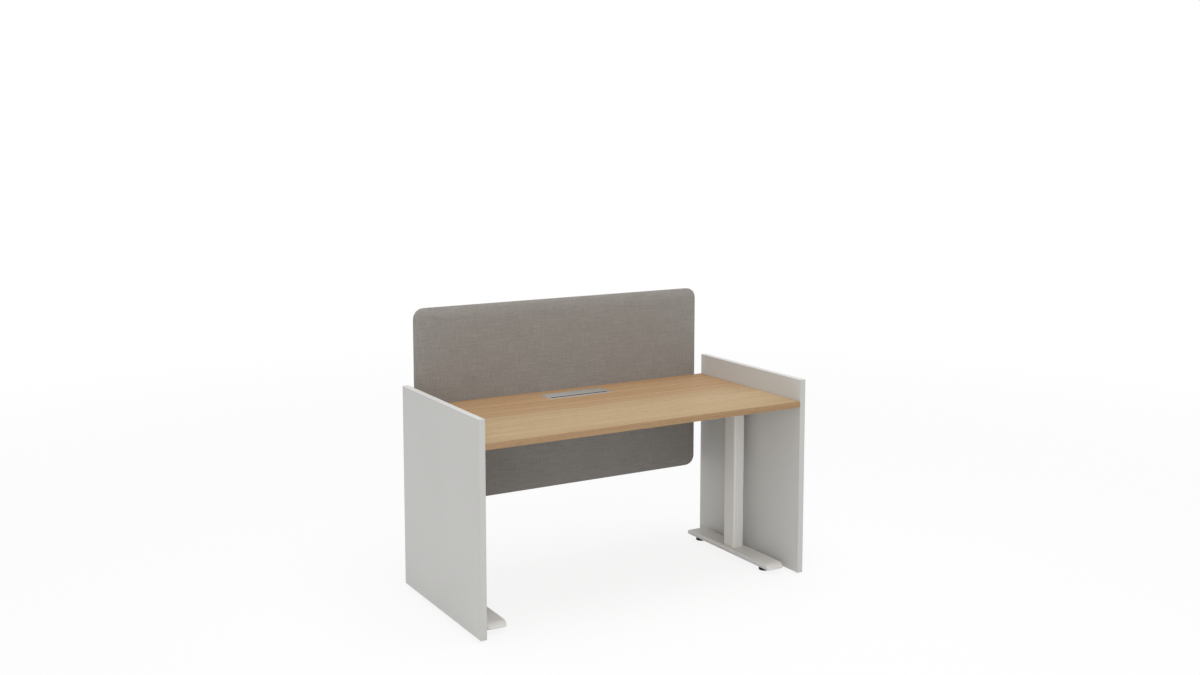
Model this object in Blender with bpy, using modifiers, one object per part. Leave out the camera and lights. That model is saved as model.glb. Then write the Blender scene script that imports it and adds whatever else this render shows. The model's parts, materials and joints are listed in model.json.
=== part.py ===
"""Height-adjustable desk with side panels, a fabric screen, a cable flap and two lifting columns.

Metres, +Z up, the floor at z = 0. The sitter is at -Y, the screen at +Y and +X is to the sitter's right.
The origin is the middle of the footprint on the floor. The desk is drawn at its lowest height.
"""

import math

import bmesh
import bpy
from mathutils import Matrix, Vector

# Air between pieces that touch, and the distance at which a drawing's caps join its sides.
GAP = 0.0003
WELD = 0.00001

# Desk top.
TOP_WIDTH = 1.400
TOP_DEPTH = 0.700
TOP_THICKNESS = 0.025
TOP_UNDERSIDE = 0.700
TOP_SURFACE = TOP_UNDERSIDE + TOP_THICKNESS
BOARD_EDGE = 0.001

# Side panels.
PANEL_THICKNESS = 0.025
PANEL_HEIGHT = 0.800
PANEL_FLOOR_GAP = 0.012
PANEL_X = TOP_WIDTH / 2 + GAP + PANEL_THICKNESS / 2

# Fabric screen: a core board in two upholstered halves.
SCREEN_WIDTH = 1.340
SCREEN_HEIGHT = 0.800
SCREEN_BOTTOM = 0.312
SCREEN_THICKNESS = 0.028
SCREEN_CORNER = 0.045
SCREEN_CROWN = 0.008
SCREEN_CROWN_WIDTH = 0.032
SCREEN_SEAM = 0.001
SCREEN_BORDER = 0.020
CORE_THICKNESS = 0.012

# The top lies forward of the middle of the footprint by half the screen's thickness.
DESK_Y = -(SCREEN_THICKNESS + GAP) / 2
TOP_REAR = DESK_Y + TOP_DEPTH / 2
SCREEN_Y = TOP_REAR + GAP + SCREEN_THICKNESS / 2

# Feet.
LEG_X = 0.632
FOOT_LENGTH = 0.590
FOOT_WIDTH = 0.080
FOOT_BOTTOM = 0.023
FOOT_TOP = 0.043
FOOT_SLOPE = 0.020
FOOT_LIP = 0.008
FOOT_CORNER = 0.010
FOOT_ROUNDING = 0.003
FOOT_WALL = 0.003
BOSS_HALF = 0.020

# Levellers, measured from the middle of the foot.
LEVELLER_Y = {"front": -0.215, "rear": 0.242}
GLIDE_RADIUS = 0.022
GLIDE_NECK = 0.011
GLIDE_RIM = 0.007
STEM_RADIUS = 0.004
STEM_TOP = 0.0395

# Lifting columns.
OUTER_WIDTH = 0.052
OUTER_DEPTH = 0.075
OUTER_WALL = 0.0018
OUTER_CORNER = 0.008
OUTER_TOP = 0.632
INNER_WIDTH = 0.044
INNER_DEPTH = 0.067
INNER_WALL = 0.002
INNER_CORNER = 0.006
INNER_BOTTOM = 0.060
INNER_TOP = 0.657
COLLAR_LENGTH = 0.030
COLLAR_FLANGE = 0.002
SHOE_LENGTH = 0.050

# Drive inside each column: a fixed push tube with its nut, and a screw that hangs from the gear motor.
BASE_PLATE_THICKNESS = 0.006
PUSH_RADIUS = 0.011
PUSH_WALL = 0.002
NUT_BOTTOM = 0.520
NUT_TOP = 0.548
SCREW_RADIUS = 0.006
SCREW_BOTTOM = 0.066
HUB_RADIUS = 0.008
HUB_BOTTOM = 0.5495
HUB_TOP = 0.5615
GEARBOX_RADIUS = 0.019
GEARBOX_LENGTH = 0.036
MOTOR_RADIUS = 0.0175
MOTOR_TOP = 0.655
BOLT_Y = 0.024
BOLT_RADIUS = 0.004
BOLT_HEAD_RADIUS = 0.007
BOLT_HEAD = 0.005

# Frame under the top.
HEAD_WIDTH = 0.100
HEAD_DEPTH = 0.140
HEAD_THICKNESS = 0.004
HEAD_INSET = 0.020
FRAME_BOTTOM = INNER_TOP + HEAD_THICKNESS + 2 * GAP
ARM_WIDTH = 0.036
ARM_FRONT = -0.280
ARM_REAR = 0.280
ARM_TIP = 0.012
ARM_FLAT = 0.090
ARM_SHEET = 0.0025
RAIL_Y = 0.050
RAIL_DEPTH = 0.020
RAIL_HEIGHT = 0.034
RAIL_WALL = 0.002
RAIL_CORNER = 0.003

# Angles that hold the panels and the screen.
ANGLE_SHEET = 0.003
PANEL_ANGLE_LEG = 0.038
PANEL_ANGLE_DROP = 0.032
PANEL_ANGLE_LENGTH = 0.060
PANEL_ANGLE_Y = 0.226
SCREEN_ANGLE_LEG = 0.050
SCREEN_ANGLE_DROP = 0.078
SCREEN_ANGLE_LENGTH = 0.060
SCREEN_ANGLE_X = 0.480

# Cable flap, let into the top. Its Y places are measured from the middle of the top.
FLAP_WIDTH = 0.290
FLAP_FRONT = 0.194
FLAP_REAR = 0.295
FLAP_SURFACE = TOP_SURFACE - 0.0001
FLAP_SIDE = 0.012
FLAP_FRONT_BAR = 0.020
FLAP_REAR_BAR = 0.0024
FLAP_LEDGE = 0.003
SLOT_WIDTH = 0.0115
LID_THICKNESS = 0.004
BARREL_RADIUS = 0.0035
BARREL_ROOM = 0.0045
PIN_RADIUS = 0.0015
PIN_OVERHANG = 0.006

# Cable tray, measured from the middle of the top.
TRAY_LENGTH = 0.700
TRAY_FRONT = 0.150
TRAY_REAR = 0.290
TRAY_BOTTOM = 0.612
TRAY_FLANGE = 0.015
TRAY_SHEET = 0.0015

# Control box, measured from the middle of the top.
BOX_X = -0.280
BOX_Y = -0.130
BOX_LENGTH = 0.240
BOX_DEPTH = 0.110
BOX_HEIGHT = 0.040
BOX_EAR = 0.012
BOX_PLATE = 0.003
BOX_WALL = 0.0025
BOX_EDGE = 0.002
SOCKET_WALL = 0.012
SOCKET_DEPTH = 0.009
SOCKETS = ((-0.034, 0.028, 0.021), (-0.004, 0.014, 0.011), (0.018, 0.014, 0.011), (0.039, 0.012, 0.010))
BOARD_THICKNESS = 0.0016
BOARD_MARGIN = 0.004
TRANSFORMER = (0.060, 0.050, 0.026)

# Handset, measured from the middle of the top.
HANDSET_X = 0.460
HANDSET_FRONT = -0.250
HANDSET_LENGTH = 0.096
HANDSET_DEPTH = 0.050
HANDSET_HEIGHT = 0.018
HANDSET_BACK = 0.008
HANDSET_EDGE = 0.0015
BUTTON_PITCH = 0.040
BUTTON_LENGTH = 0.026
BUTTON_HEIGHT = 0.010
BUTTON_DEPTH = 0.0075
BUTTON_PROUD = 0.0015
BUTTON_ROOM = 0.0015
BUTTON_EDGE = 0.0008

SIDES = {"left": -1, "right": 1}
ROUND_STEPS = 32
CORNER_STEPS = 6

# How a drawing's own plane lies in the desk: flat, upright across the desk, or upright along its depth.
FLAT = Matrix.Identity(4)
ACROSS = Matrix(((1, 0, 0, 0), (0, 0, -1, 0), (0, 1, 0, 0), (0, 0, 0, 1)))
ALONG = Matrix(((0, 0, 1, 0), (1, 0, 0, 0), (0, 1, 0, 0), (0, 0, 0, 1)))


def clear_scene():
    for item in list(bpy.data.objects):
        bpy.data.objects.remove(item, do_unlink=True)


def new_collection(name):
    group = bpy.data.collections.new(name)
    bpy.context.scene.collection.children.link(group)
    return group


def new_finish(name, colour, roughness, metallic=0.0):
    finish = bpy.data.materials.new(name)
    finish.use_nodes = True
    shader = finish.node_tree.nodes["Principled BSDF"]
    shader.inputs["Base Color"].default_value = (*colour, 1.0)
    shader.inputs["Roughness"].default_value = roughness
    shader.inputs["Metallic"].default_value = metallic
    finish.diffuse_color = (*colour, 1.0)
    return finish


clear_scene()
DESK = new_collection("height_adjustable_desk")
CUTTERS = new_collection("cutters")

OAK = new_finish("oak_laminate", (0.54, 0.385, 0.225), 0.50)
GREY_BOARD = new_finish("light_grey_laminate", (0.60, 0.595, 0.58), 0.50)
CORE_BOARD = new_finish("core_board", (0.45, 0.34, 0.22), 0.80)
FABRIC = new_finish("grey_fabric", (0.29, 0.272, 0.252), 0.95)
GREY_PAINT = new_finish("light_grey_paint", (0.70, 0.69, 0.67), 0.45)
SILVER = new_finish("silver_lacquer", (0.44, 0.455, 0.465), 0.40, 0.3)
ZINC = new_finish("zinc_plated_steel", (0.60, 0.60, 0.58), 0.35, 1.0)
BLACK = new_finish("black_plastic", (0.012, 0.012, 0.012), 0.50)
WHITE_PLASTIC = new_finish("white_plastic", (0.70, 0.69, 0.65), 0.45)
MOTOR_GREY = new_finish("motor_grey", (0.12, 0.12, 0.13), 0.40, 0.6)
BOARD_GREEN = new_finish("circuit_board", (0.03, 0.16, 0.07), 0.50)
DARK_GREY = new_finish("dark_grey_plastic", (0.07, 0.07, 0.075), 0.50)


def spot(item):
    """Where an object stands in the world; none of the parents is turned."""
    if item.parent is None:
        return item.location.copy()
    return item.location + spot(item.parent)


def place(item, parent, position):
    item.parent = parent
    item.location = Vector(position) - spot(parent)


def empty(name, position, parent=None):
    item = bpy.data.objects.new(name, None)
    item.empty_display_size = 0.05
    DESK.objects.link(item)
    item.location = position
    if parent is not None:
        place(item, parent, position)
    return item


def node(name, mesh, finish, parent, position):
    item = bpy.data.objects.new(name, mesh)
    mesh.materials.append(finish)
    DESK.objects.link(item)
    place(item, parent, position)
    return item


def cutter(mesh, parent, position):
    item = bpy.data.objects.new(mesh.name, mesh)
    CUTTERS.objects.link(item)
    item.hide_render = True
    item.display_type = "WIRE"
    place(item, parent, position)
    return item


def combine(item, tool, operation="DIFFERENCE"):
    modifier = item.modifiers.new(tool.name, "BOOLEAN")
    modifier.operation = operation
    modifier.solver = "EXACT"
    modifier.object = tool


def round_edges(item, width, segments=2):
    modifier = item.modifiers.new("rounded_edges", "BEVEL")
    modifier.width = width
    modifier.segments = segments
    modifier.limit_method = "ANGLE"
    modifier.angle_limit = math.radians(40)


def finished_mesh(form, name):
    mesh = bpy.data.meshes.new(name)
    form.to_mesh(mesh)
    form.free()
    return mesh


def box_mesh(name, size):
    form = bmesh.new()
    bmesh.ops.create_cube(form, size=1.0, matrix=Matrix.Diagonal((*size, 1.0)))
    return finished_mesh(form, name)


def cylinder_mesh(name, radius, length, turn=FLAT):
    form = bmesh.new()
    bmesh.ops.create_cone(
        form, cap_ends=True, segments=ROUND_STEPS, radius1=radius, radius2=radius, depth=length, matrix=turn
    )
    return finished_mesh(form, name)


def arc(centre, radius, start, end, steps):
    """Points of an arc, with its angles in degrees."""
    angles = [math.radians(start + (end - start) * step / steps) for step in range(steps + 1)]
    return [(centre[0] + radius * math.cos(angle), centre[1] + radius * math.sin(angle)) for angle in angles]


def circle(radius, centre=(0.0, 0.0), steps=ROUND_STEPS):
    return arc(centre, radius, 0, 360, steps)[:-1]


def rounded_rectangle(width, height, radius, steps=CORNER_STEPS):
    across = width / 2 - radius
    up = height / 2 - radius
    points = []
    for quarter, centre in enumerate(((across, up), (-across, up), (-across, -up), (across, -up))):
        points += arc(centre, radius, 90 * quarter, 90 * quarter + 90, steps)
    return points


def rectangle(left, bottom, right, top):
    return [(left, bottom), (right, bottom), (right, top), (left, top)]


def drawn_mesh(name, loops, thickness, turn=FLAT):
    """A flat outline, with holes where it has inner loops, as thick as asked about its own plane."""
    curve = bpy.data.curves.new(name, "CURVE")
    curve.dimensions = "2D"
    curve.fill_mode = "BOTH"
    curve.extrude = thickness / 2
    for loop in loops:
        spline = curve.splines.new("POLY")
        spline.points.add(len(loop) - 1)
        for point, (along, up) in zip(spline.points, loop):
            point.co = (along, up, 0.0, 1.0)
        spline.use_cyclic_u = True
    drawing = bpy.data.objects.new(name, curve)
    CUTTERS.objects.link(drawing)
    seen = drawing.evaluated_get(bpy.context.evaluated_depsgraph_get())
    caps_and_sides = bpy.data.meshes.new_from_object(seen)
    bpy.data.objects.remove(drawing)
    form = bmesh.new()
    form.from_mesh(caps_and_sides)
    bpy.data.meshes.remove(caps_and_sides)
    bmesh.ops.remove_doubles(form, verts=form.verts, dist=WELD)
    bmesh.ops.dissolve_limit(form, angle_limit=math.radians(0.5), verts=form.verts, edges=form.edges)
    bmesh.ops.recalc_face_normals(form, faces=form.faces)
    bmesh.ops.transform(form, matrix=turn, verts=form.verts)
    return finished_mesh(form, name)


def shade_round(mesh):
    mesh.shade_smooth()
    mesh.set_sharp_from_angle(angle=math.radians(35))


def ring_mesh(name, width, depth, corner, wall, length):
    """A rectangular tube with rounded edges, standing upright about its own middle."""
    outside = rounded_rectangle(width, depth, corner)
    inside = rounded_rectangle(width - 2 * wall, depth - 2 * wall, corner - wall)
    mesh = drawn_mesh(name, [outside, inside], length)
    shade_round(mesh)
    return mesh


def turned(name, profile, finish, parent, position):
    """A turned piece from (radius, height) points that run from its top, down its side, to its bottom."""
    mesh = bpy.data.meshes.new(name)
    edges = [(step, step + 1) for step in range(len(profile) - 1)]
    mesh.from_pydata([(radius, 0.0, height) for radius, height in profile], edges, [])
    item = node(name, mesh, finish, parent, position)
    modifier = item.modifiers.new("turning", "SCREW")
    modifier.steps = ROUND_STEPS
    modifier.render_steps = ROUND_STEPS
    modifier.use_merge_vertices = True
    modifier.merge_threshold = WELD
    return item


def build_foot(side, stand, x):
    """A pressed foot, open below, with sloped ends and a solid boss over each leveller."""
    half = FOOT_LENGTH / 2
    lip_top = FOOT_BOTTOM + FOOT_LIP
    profile = [
        (-half, FOOT_BOTTOM),
        (half, FOOT_BOTTOM),
        (half, lip_top),
        (half - FOOT_SLOPE, FOOT_TOP),
        (-half + FOOT_SLOPE, FOOT_TOP),
        (-half, lip_top),
    ]
    middle = (x, DESK_Y, 0.0)
    foot = node(f"foot_{side}", drawn_mesh("foot", [profile], FOOT_WIDTH, ALONG), GREY_PAINT, stand, middle)
    plan = rounded_rectangle(FOOT_WIDTH, FOOT_LENGTH, FOOT_CORNER)
    combine(foot, cutter(drawn_mesh("foot_plan", [plan], 4 * FOOT_TOP), stand, middle), "INTERSECT")
    round_edges(foot, FOOT_ROUNDING)

    hollow_front = LEVELLER_Y["front"] + BOSS_HALF
    hollow_rear = LEVELLER_Y["rear"] - BOSS_HALF
    hollow_height = FOOT_TOP - FOOT_WALL - FOOT_BOTTOM
    hollow_size = (FOOT_WIDTH - 2 * FOOT_WALL, hollow_rear - hollow_front, 2 * hollow_height)
    hollow_place = (x, DESK_Y + (hollow_front + hollow_rear) / 2, FOOT_BOTTOM)
    combine(foot, cutter(box_mesh("foot_hollow", hollow_size), stand, hollow_place))
    for along in LEVELLER_Y.values():
        hole = cylinder_mesh("leveller_hole", STEM_RADIUS + GAP, 2 * (STEM_TOP + GAP - FOOT_BOTTOM))
        combine(foot, cutter(hole, stand, (x, DESK_Y + along, FOOT_BOTTOM)))
    for along in (-BOLT_Y, BOLT_Y):
        hole = cylinder_mesh("bolt_hole", BOLT_RADIUS + GAP, 4 * FOOT_WALL)
        combine(foot, cutter(hole, stand, (x, DESK_Y + along, FOOT_TOP)))


def build_levellers(side, stand, x):
    """Round glides on threaded stems, screwed fully in; each has its origin on its axis, at the floor."""
    shoulder = FOOT_BOTTOM - 2 * GAP
    profile = [
        (0.0, STEM_TOP),
        (STEM_RADIUS, STEM_TOP),
        (STEM_RADIUS, shoulder),
        (GLIDE_NECK, shoulder),
        (GLIDE_RADIUS, GLIDE_RIM),
        (GLIDE_RADIUS, 0.0),
        (0.0, 0.0),
    ]
    for end, along in LEVELLER_Y.items():
        turned(f"leveller_{side}_{end}", profile, BLACK, stand, (x, DESK_Y + along, 0.0))


def build_foot_bolts(side, stand, x):
    ceiling = FOOT_TOP - FOOT_WALL - GAP
    profile = [
        (0.0, FOOT_TOP + BASE_PLATE_THICKNESS),
        (BOLT_RADIUS, FOOT_TOP + BASE_PLATE_THICKNESS),
        (BOLT_RADIUS, ceiling),
        (BOLT_HEAD_RADIUS, ceiling),
        (BOLT_HEAD_RADIUS, ceiling - BOLT_HEAD),
        (0.0, ceiling - BOLT_HEAD),
    ]
    for end, along in (("front", -BOLT_Y), ("rear", BOLT_Y)):
        turned(f"foot_bolt_{side}_{end}", profile, ZINC, stand, (x, DESK_Y + along, 0.0))


def column_lining(name, length):
    """The plastic sleeve section that fills the space between the two tubes."""
    width = OUTER_WIDTH - 2 * (OUTER_WALL + GAP)
    depth = OUTER_DEPTH - 2 * (OUTER_WALL + GAP)
    wall = (width - INNER_WIDTH) / 2 - GAP
    return ring_mesh(name, width, depth, OUTER_CORNER - OUTER_WALL - GAP, wall, length)


def build_fixed_column(side, stand, x):
    """The part of the column that stays on the foot: outer tube, collar, base plate, push tube and nut."""
    base = FOOT_TOP + GAP
    outer_length = OUTER_TOP - base
    outer = ring_mesh("outer_tube", OUTER_WIDTH, OUTER_DEPTH, OUTER_CORNER, OUTER_WALL, outer_length)
    node(f"outer_tube_{side}", outer, GREY_PAINT, stand, (x, DESK_Y, base + outer_length / 2))

    collar_middle = OUTER_TOP + GAP + COLLAR_FLANGE / 2 - COLLAR_LENGTH / 2
    collar = node(
        f"guide_collar_{side}",
        column_lining("guide_collar", COLLAR_LENGTH),
        DARK_GREY,
        stand,
        (x, DESK_Y, collar_middle),
    )
    flange_wall = (OUTER_WIDTH - INNER_WIDTH) / 2 - GAP
    flange = ring_mesh("collar_flange", OUTER_WIDTH, OUTER_DEPTH, OUTER_CORNER, flange_wall, COLLAR_FLANGE)
    flange_place = (x, DESK_Y, OUTER_TOP + GAP + COLLAR_FLANGE / 2)
    combine(collar, cutter(flange, stand, flange_place), "UNION")

    plate_outline = rounded_rectangle(
        OUTER_WIDTH - 2 * (OUTER_WALL + GAP),
        OUTER_DEPTH - 2 * (OUTER_WALL + GAP),
        OUTER_CORNER - OUTER_WALL - GAP,
    )
    bolt_holes = [circle(BOLT_RADIUS + GAP, (0.0, along)) for along in (-BOLT_Y, BOLT_Y)]
    plate = drawn_mesh("base_plate", [plate_outline, *bolt_holes], BASE_PLATE_THICKNESS)
    node(f"base_plate_{side}", plate, ZINC, stand, (x, DESK_Y, base + BASE_PLATE_THICKNESS / 2))

    push_bottom = base + BASE_PLATE_THICKNESS + GAP
    push_length = NUT_BOTTOM - GAP - push_bottom
    push = drawn_mesh("push_tube", [circle(PUSH_RADIUS), circle(PUSH_RADIUS - PUSH_WALL)], push_length)
    shade_round(push)
    node(f"push_tube_{side}", push, ZINC, stand, (x, DESK_Y, push_bottom + push_length / 2))

    nut = drawn_mesh("spindle_nut", [circle(PUSH_RADIUS), circle(SCREW_RADIUS + GAP)], NUT_TOP - NUT_BOTTOM)
    shade_round(nut)
    node(f"spindle_nut_{side}", nut, WHITE_PLASTIC, stand, (x, DESK_Y, (NUT_BOTTOM + NUT_TOP) / 2))


def build_rising_column(side, lift, x):
    """The part of the column that rises: inner tube, shoe, gear motor, screw and head plate."""
    inner_length = INNER_TOP - INNER_BOTTOM
    inner = ring_mesh("inner_tube", INNER_WIDTH, INNER_DEPTH, INNER_CORNER, INNER_WALL, inner_length)
    node(f"inner_tube_{side}", inner, GREY_PAINT, lift, (x, DESK_Y, INNER_BOTTOM + inner_length / 2))
    shoe_middle = INNER_BOTTOM + SHOE_LENGTH / 2
    shoe = column_lining("slide_shoe", SHOE_LENGTH)
    node(f"slide_shoe_{side}", shoe, BLACK, lift, (x, DESK_Y, shoe_middle))

    gearbox_bottom = HUB_TOP + GAP
    gearbox_top = gearbox_bottom + GEARBOX_LENGTH
    motor_profile = [
        (0.0, MOTOR_TOP),
        (MOTOR_RADIUS, MOTOR_TOP),
        (MOTOR_RADIUS, gearbox_top),
        (GEARBOX_RADIUS, gearbox_top),
        (GEARBOX_RADIUS, gearbox_bottom),
        (0.0, gearbox_bottom),
    ]
    turned(f"gear_motor_{side}", motor_profile, MOTOR_GREY, lift, (x, DESK_Y, 0.0))

    screw_profile = [
        (0.0, HUB_TOP),
        (HUB_RADIUS, HUB_TOP),
        (HUB_RADIUS, HUB_BOTTOM),
        (SCREW_RADIUS, HUB_BOTTOM),
        (SCREW_RADIUS, SCREW_BOTTOM),
        (0.0, SCREW_BOTTOM),
    ]
    turned(f"spindle_{side}", screw_profile, ZINC, lift, (x, DESK_Y, 0.0))

    head_x = x - math.copysign(HEAD_INSET, x)
    head = box_mesh("head_plate", (HEAD_WIDTH, HEAD_DEPTH, HEAD_THICKNESS))
    node(f"head_plate_{side}", head, ZINC, lift, (head_x, DESK_Y, INNER_TOP + GAP + HEAD_THICKNESS / 2))


def build_support_arm(side, lift, x):
    """A folded arm under the top, open below, deepest over the column and tapered to its tips."""
    top = TOP_UNDERSIDE - GAP

    def arm_outline(inset):
        ceiling = top - inset
        tip = top - ARM_TIP - inset
        deep = FRAME_BOTTOM - inset
        front = ARM_FRONT + inset
        rear = ARM_REAR - inset
        front_half = [(front, ceiling), (front, tip), (-ARM_FLAT, deep)]
        rear_half = [(ARM_FLAT, deep), (rear, tip), (rear, ceiling)]
        return front_half + rear_half

    middle = (x, DESK_Y, 0.0)
    arm_mesh = drawn_mesh("support_arm", [arm_outline(0.0)], ARM_WIDTH, ALONG)
    arm = node(f"support_arm_{side}", arm_mesh, GREY_PAINT, lift, middle)
    channel = drawn_mesh("arm_channel", [arm_outline(ARM_SHEET)], ARM_WIDTH - 2 * ARM_SHEET, ALONG)
    combine(arm, cutter(channel, lift, middle))


def build_cross_rails(lift):
    length = 2 * (LEG_X - ARM_WIDTH / 2 - 2 * GAP)
    outside = rounded_rectangle(RAIL_DEPTH, RAIL_HEIGHT, RAIL_CORNER, 2)
    bore = (RAIL_DEPTH - 2 * RAIL_WALL, RAIL_HEIGHT - 2 * RAIL_WALL)
    inside = rounded_rectangle(*bore, RAIL_CORNER - RAIL_WALL, 2)
    for end, along in (("front", -RAIL_Y), ("rear", RAIL_Y)):
        rail = drawn_mesh("cross_rail", [outside, inside], length, ALONG)
        middle = (0.0, DESK_Y + along, FRAME_BOTTOM + RAIL_HEIGHT / 2)
        node(f"cross_rail_{end}", rail, GREY_PAINT, lift, middle)


def build_top(lift):
    middle = (0.0, DESK_Y, TOP_UNDERSIDE + TOP_THICKNESS / 2)
    top = node("desktop", box_mesh("desktop", (TOP_WIDTH, TOP_DEPTH, TOP_THICKNESS)), OAK, lift, middle)
    round_edges(top, BOARD_EDGE)
    opening = (FLAP_WIDTH + 2 * GAP, FLAP_REAR - FLAP_FRONT + 2 * GAP, 3 * TOP_THICKNESS)
    opening_place = (0.0, DESK_Y + (FLAP_FRONT + FLAP_REAR) / 2, middle[2])
    combine(top, cutter(box_mesh("flap_opening", opening), lift, opening_place))


def build_side_panel(side, lift, sign):
    size = (PANEL_THICKNESS, TOP_DEPTH, PANEL_HEIGHT)
    place_of_panel = (sign * PANEL_X, DESK_Y, PANEL_FLOOR_GAP + PANEL_HEIGHT / 2)
    panel = node(f"side_panel_{side}", box_mesh("side_panel", size), GREY_BOARD, lift, place_of_panel)
    round_edges(panel, BOARD_EDGE)


def angle_outline(reach, drop):
    """An angle in the corner of its drawing: one leg along the top edge, the other down the right edge."""
    return [
        (0.0, 0.0),
        (-reach, 0.0),
        (-reach, -ANGLE_SHEET),
        (-ANGLE_SHEET, -ANGLE_SHEET),
        (-ANGLE_SHEET, -drop),
        (0.0, -drop),
    ]


def build_panel_brackets(side, lift, sign):
    corner_x = sign * (TOP_WIDTH / 2)
    outline = [(sign * along, up) for along, up in angle_outline(PANEL_ANGLE_LEG, PANEL_ANGLE_DROP)]
    for end, along in (("front", -PANEL_ANGLE_Y), ("rear", PANEL_ANGLE_Y)):
        angle = drawn_mesh("panel_bracket", [outline], PANEL_ANGLE_LENGTH, ACROSS)
        corner = (corner_x, DESK_Y + along, TOP_UNDERSIDE - GAP)
        node(f"panel_bracket_{side}_{end}", angle, ZINC, lift, corner)


def build_screen_bracket(side, lift, sign):
    outline = angle_outline(SCREEN_ANGLE_LEG, SCREEN_ANGLE_DROP)
    angle = drawn_mesh("screen_bracket", [outline], SCREEN_ANGLE_LENGTH, ALONG)
    corner = (sign * SCREEN_ANGLE_X, TOP_REAR, TOP_UNDERSIDE - GAP)
    node(f"screen_bracket_{side}", angle, GREY_PAINT, lift, corner)


def round_rim(form, face_y, width, segments):
    """Rounds the edges that lie in one upright plane of the desk."""
    edges = [edge for edge in form.edges if all(abs(vert.co.y - face_y) < WELD for vert in edge.verts)]
    bmesh.ops.bevel(form, geom=edges, offset=width, segments=segments, profile=0.5, affect="EDGES")


def pad_mesh(name, thickness, facing):
    """Half of the upholstery: a slab with a crowned outer face and a small round at the seam.

    The crown is a round rim on a slab that is drawn too thick and then pressed to its real thickness.
    """
    outline = rounded_rectangle(SCREEN_WIDTH, SCREEN_HEIGHT, SCREEN_CORNER, 8)
    press = SCREEN_CROWN / SCREEN_CROWN_WIDTH
    mesh = drawn_mesh(name, [outline], thickness / press, ACROSS)
    form = bmesh.new()
    form.from_mesh(mesh)
    round_rim(form, facing * thickness / press / 2, SCREEN_CROWN_WIDTH, 6)
    bmesh.ops.scale(form, vec=(1.0, press, 1.0), verts=form.verts)
    round_rim(form, -facing * thickness / 2, SCREEN_SEAM, 2)
    form.to_mesh(mesh)
    form.free()
    shade_round(mesh)
    return mesh


def build_screen(lift):
    """Two upholstered halves that meet in a seam, around a core board in their pockets."""
    middle_z = SCREEN_BOTTOM + SCREEN_HEIGHT / 2
    pad_thickness = (SCREEN_THICKNESS - GAP) / 2
    core_width = SCREEN_WIDTH - 2 * SCREEN_BORDER
    core_height = SCREEN_HEIGHT - 2 * SCREEN_BORDER
    core_corner = SCREEN_CORNER - SCREEN_BORDER
    pocket_outline = rounded_rectangle(core_width + 2 * GAP, core_height + 2 * GAP, core_corner)
    for end, facing in (("front", -1), ("rear", 1)):
        pad_place = (0.0, SCREEN_Y + facing * (GAP + pad_thickness) / 2, middle_z)
        pad_half = pad_mesh("screen_pad", pad_thickness, facing)
        pad = node(f"screen_{end}_pad", pad_half, FABRIC, lift, pad_place)
        pocket = drawn_mesh("core_pocket", [pocket_outline], CORE_THICKNESS + 2 * GAP, ACROSS)
        combine(pad, cutter(pocket, lift, (0.0, SCREEN_Y, middle_z)))
    core_outline = rounded_rectangle(core_width, core_height, core_corner)
    core = drawn_mesh("screen_core", [core_outline], CORE_THICKNESS, ACROSS)
    node("screen_core", core, CORE_BOARD, lift, (0.0, SCREEN_Y, middle_z))


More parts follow.
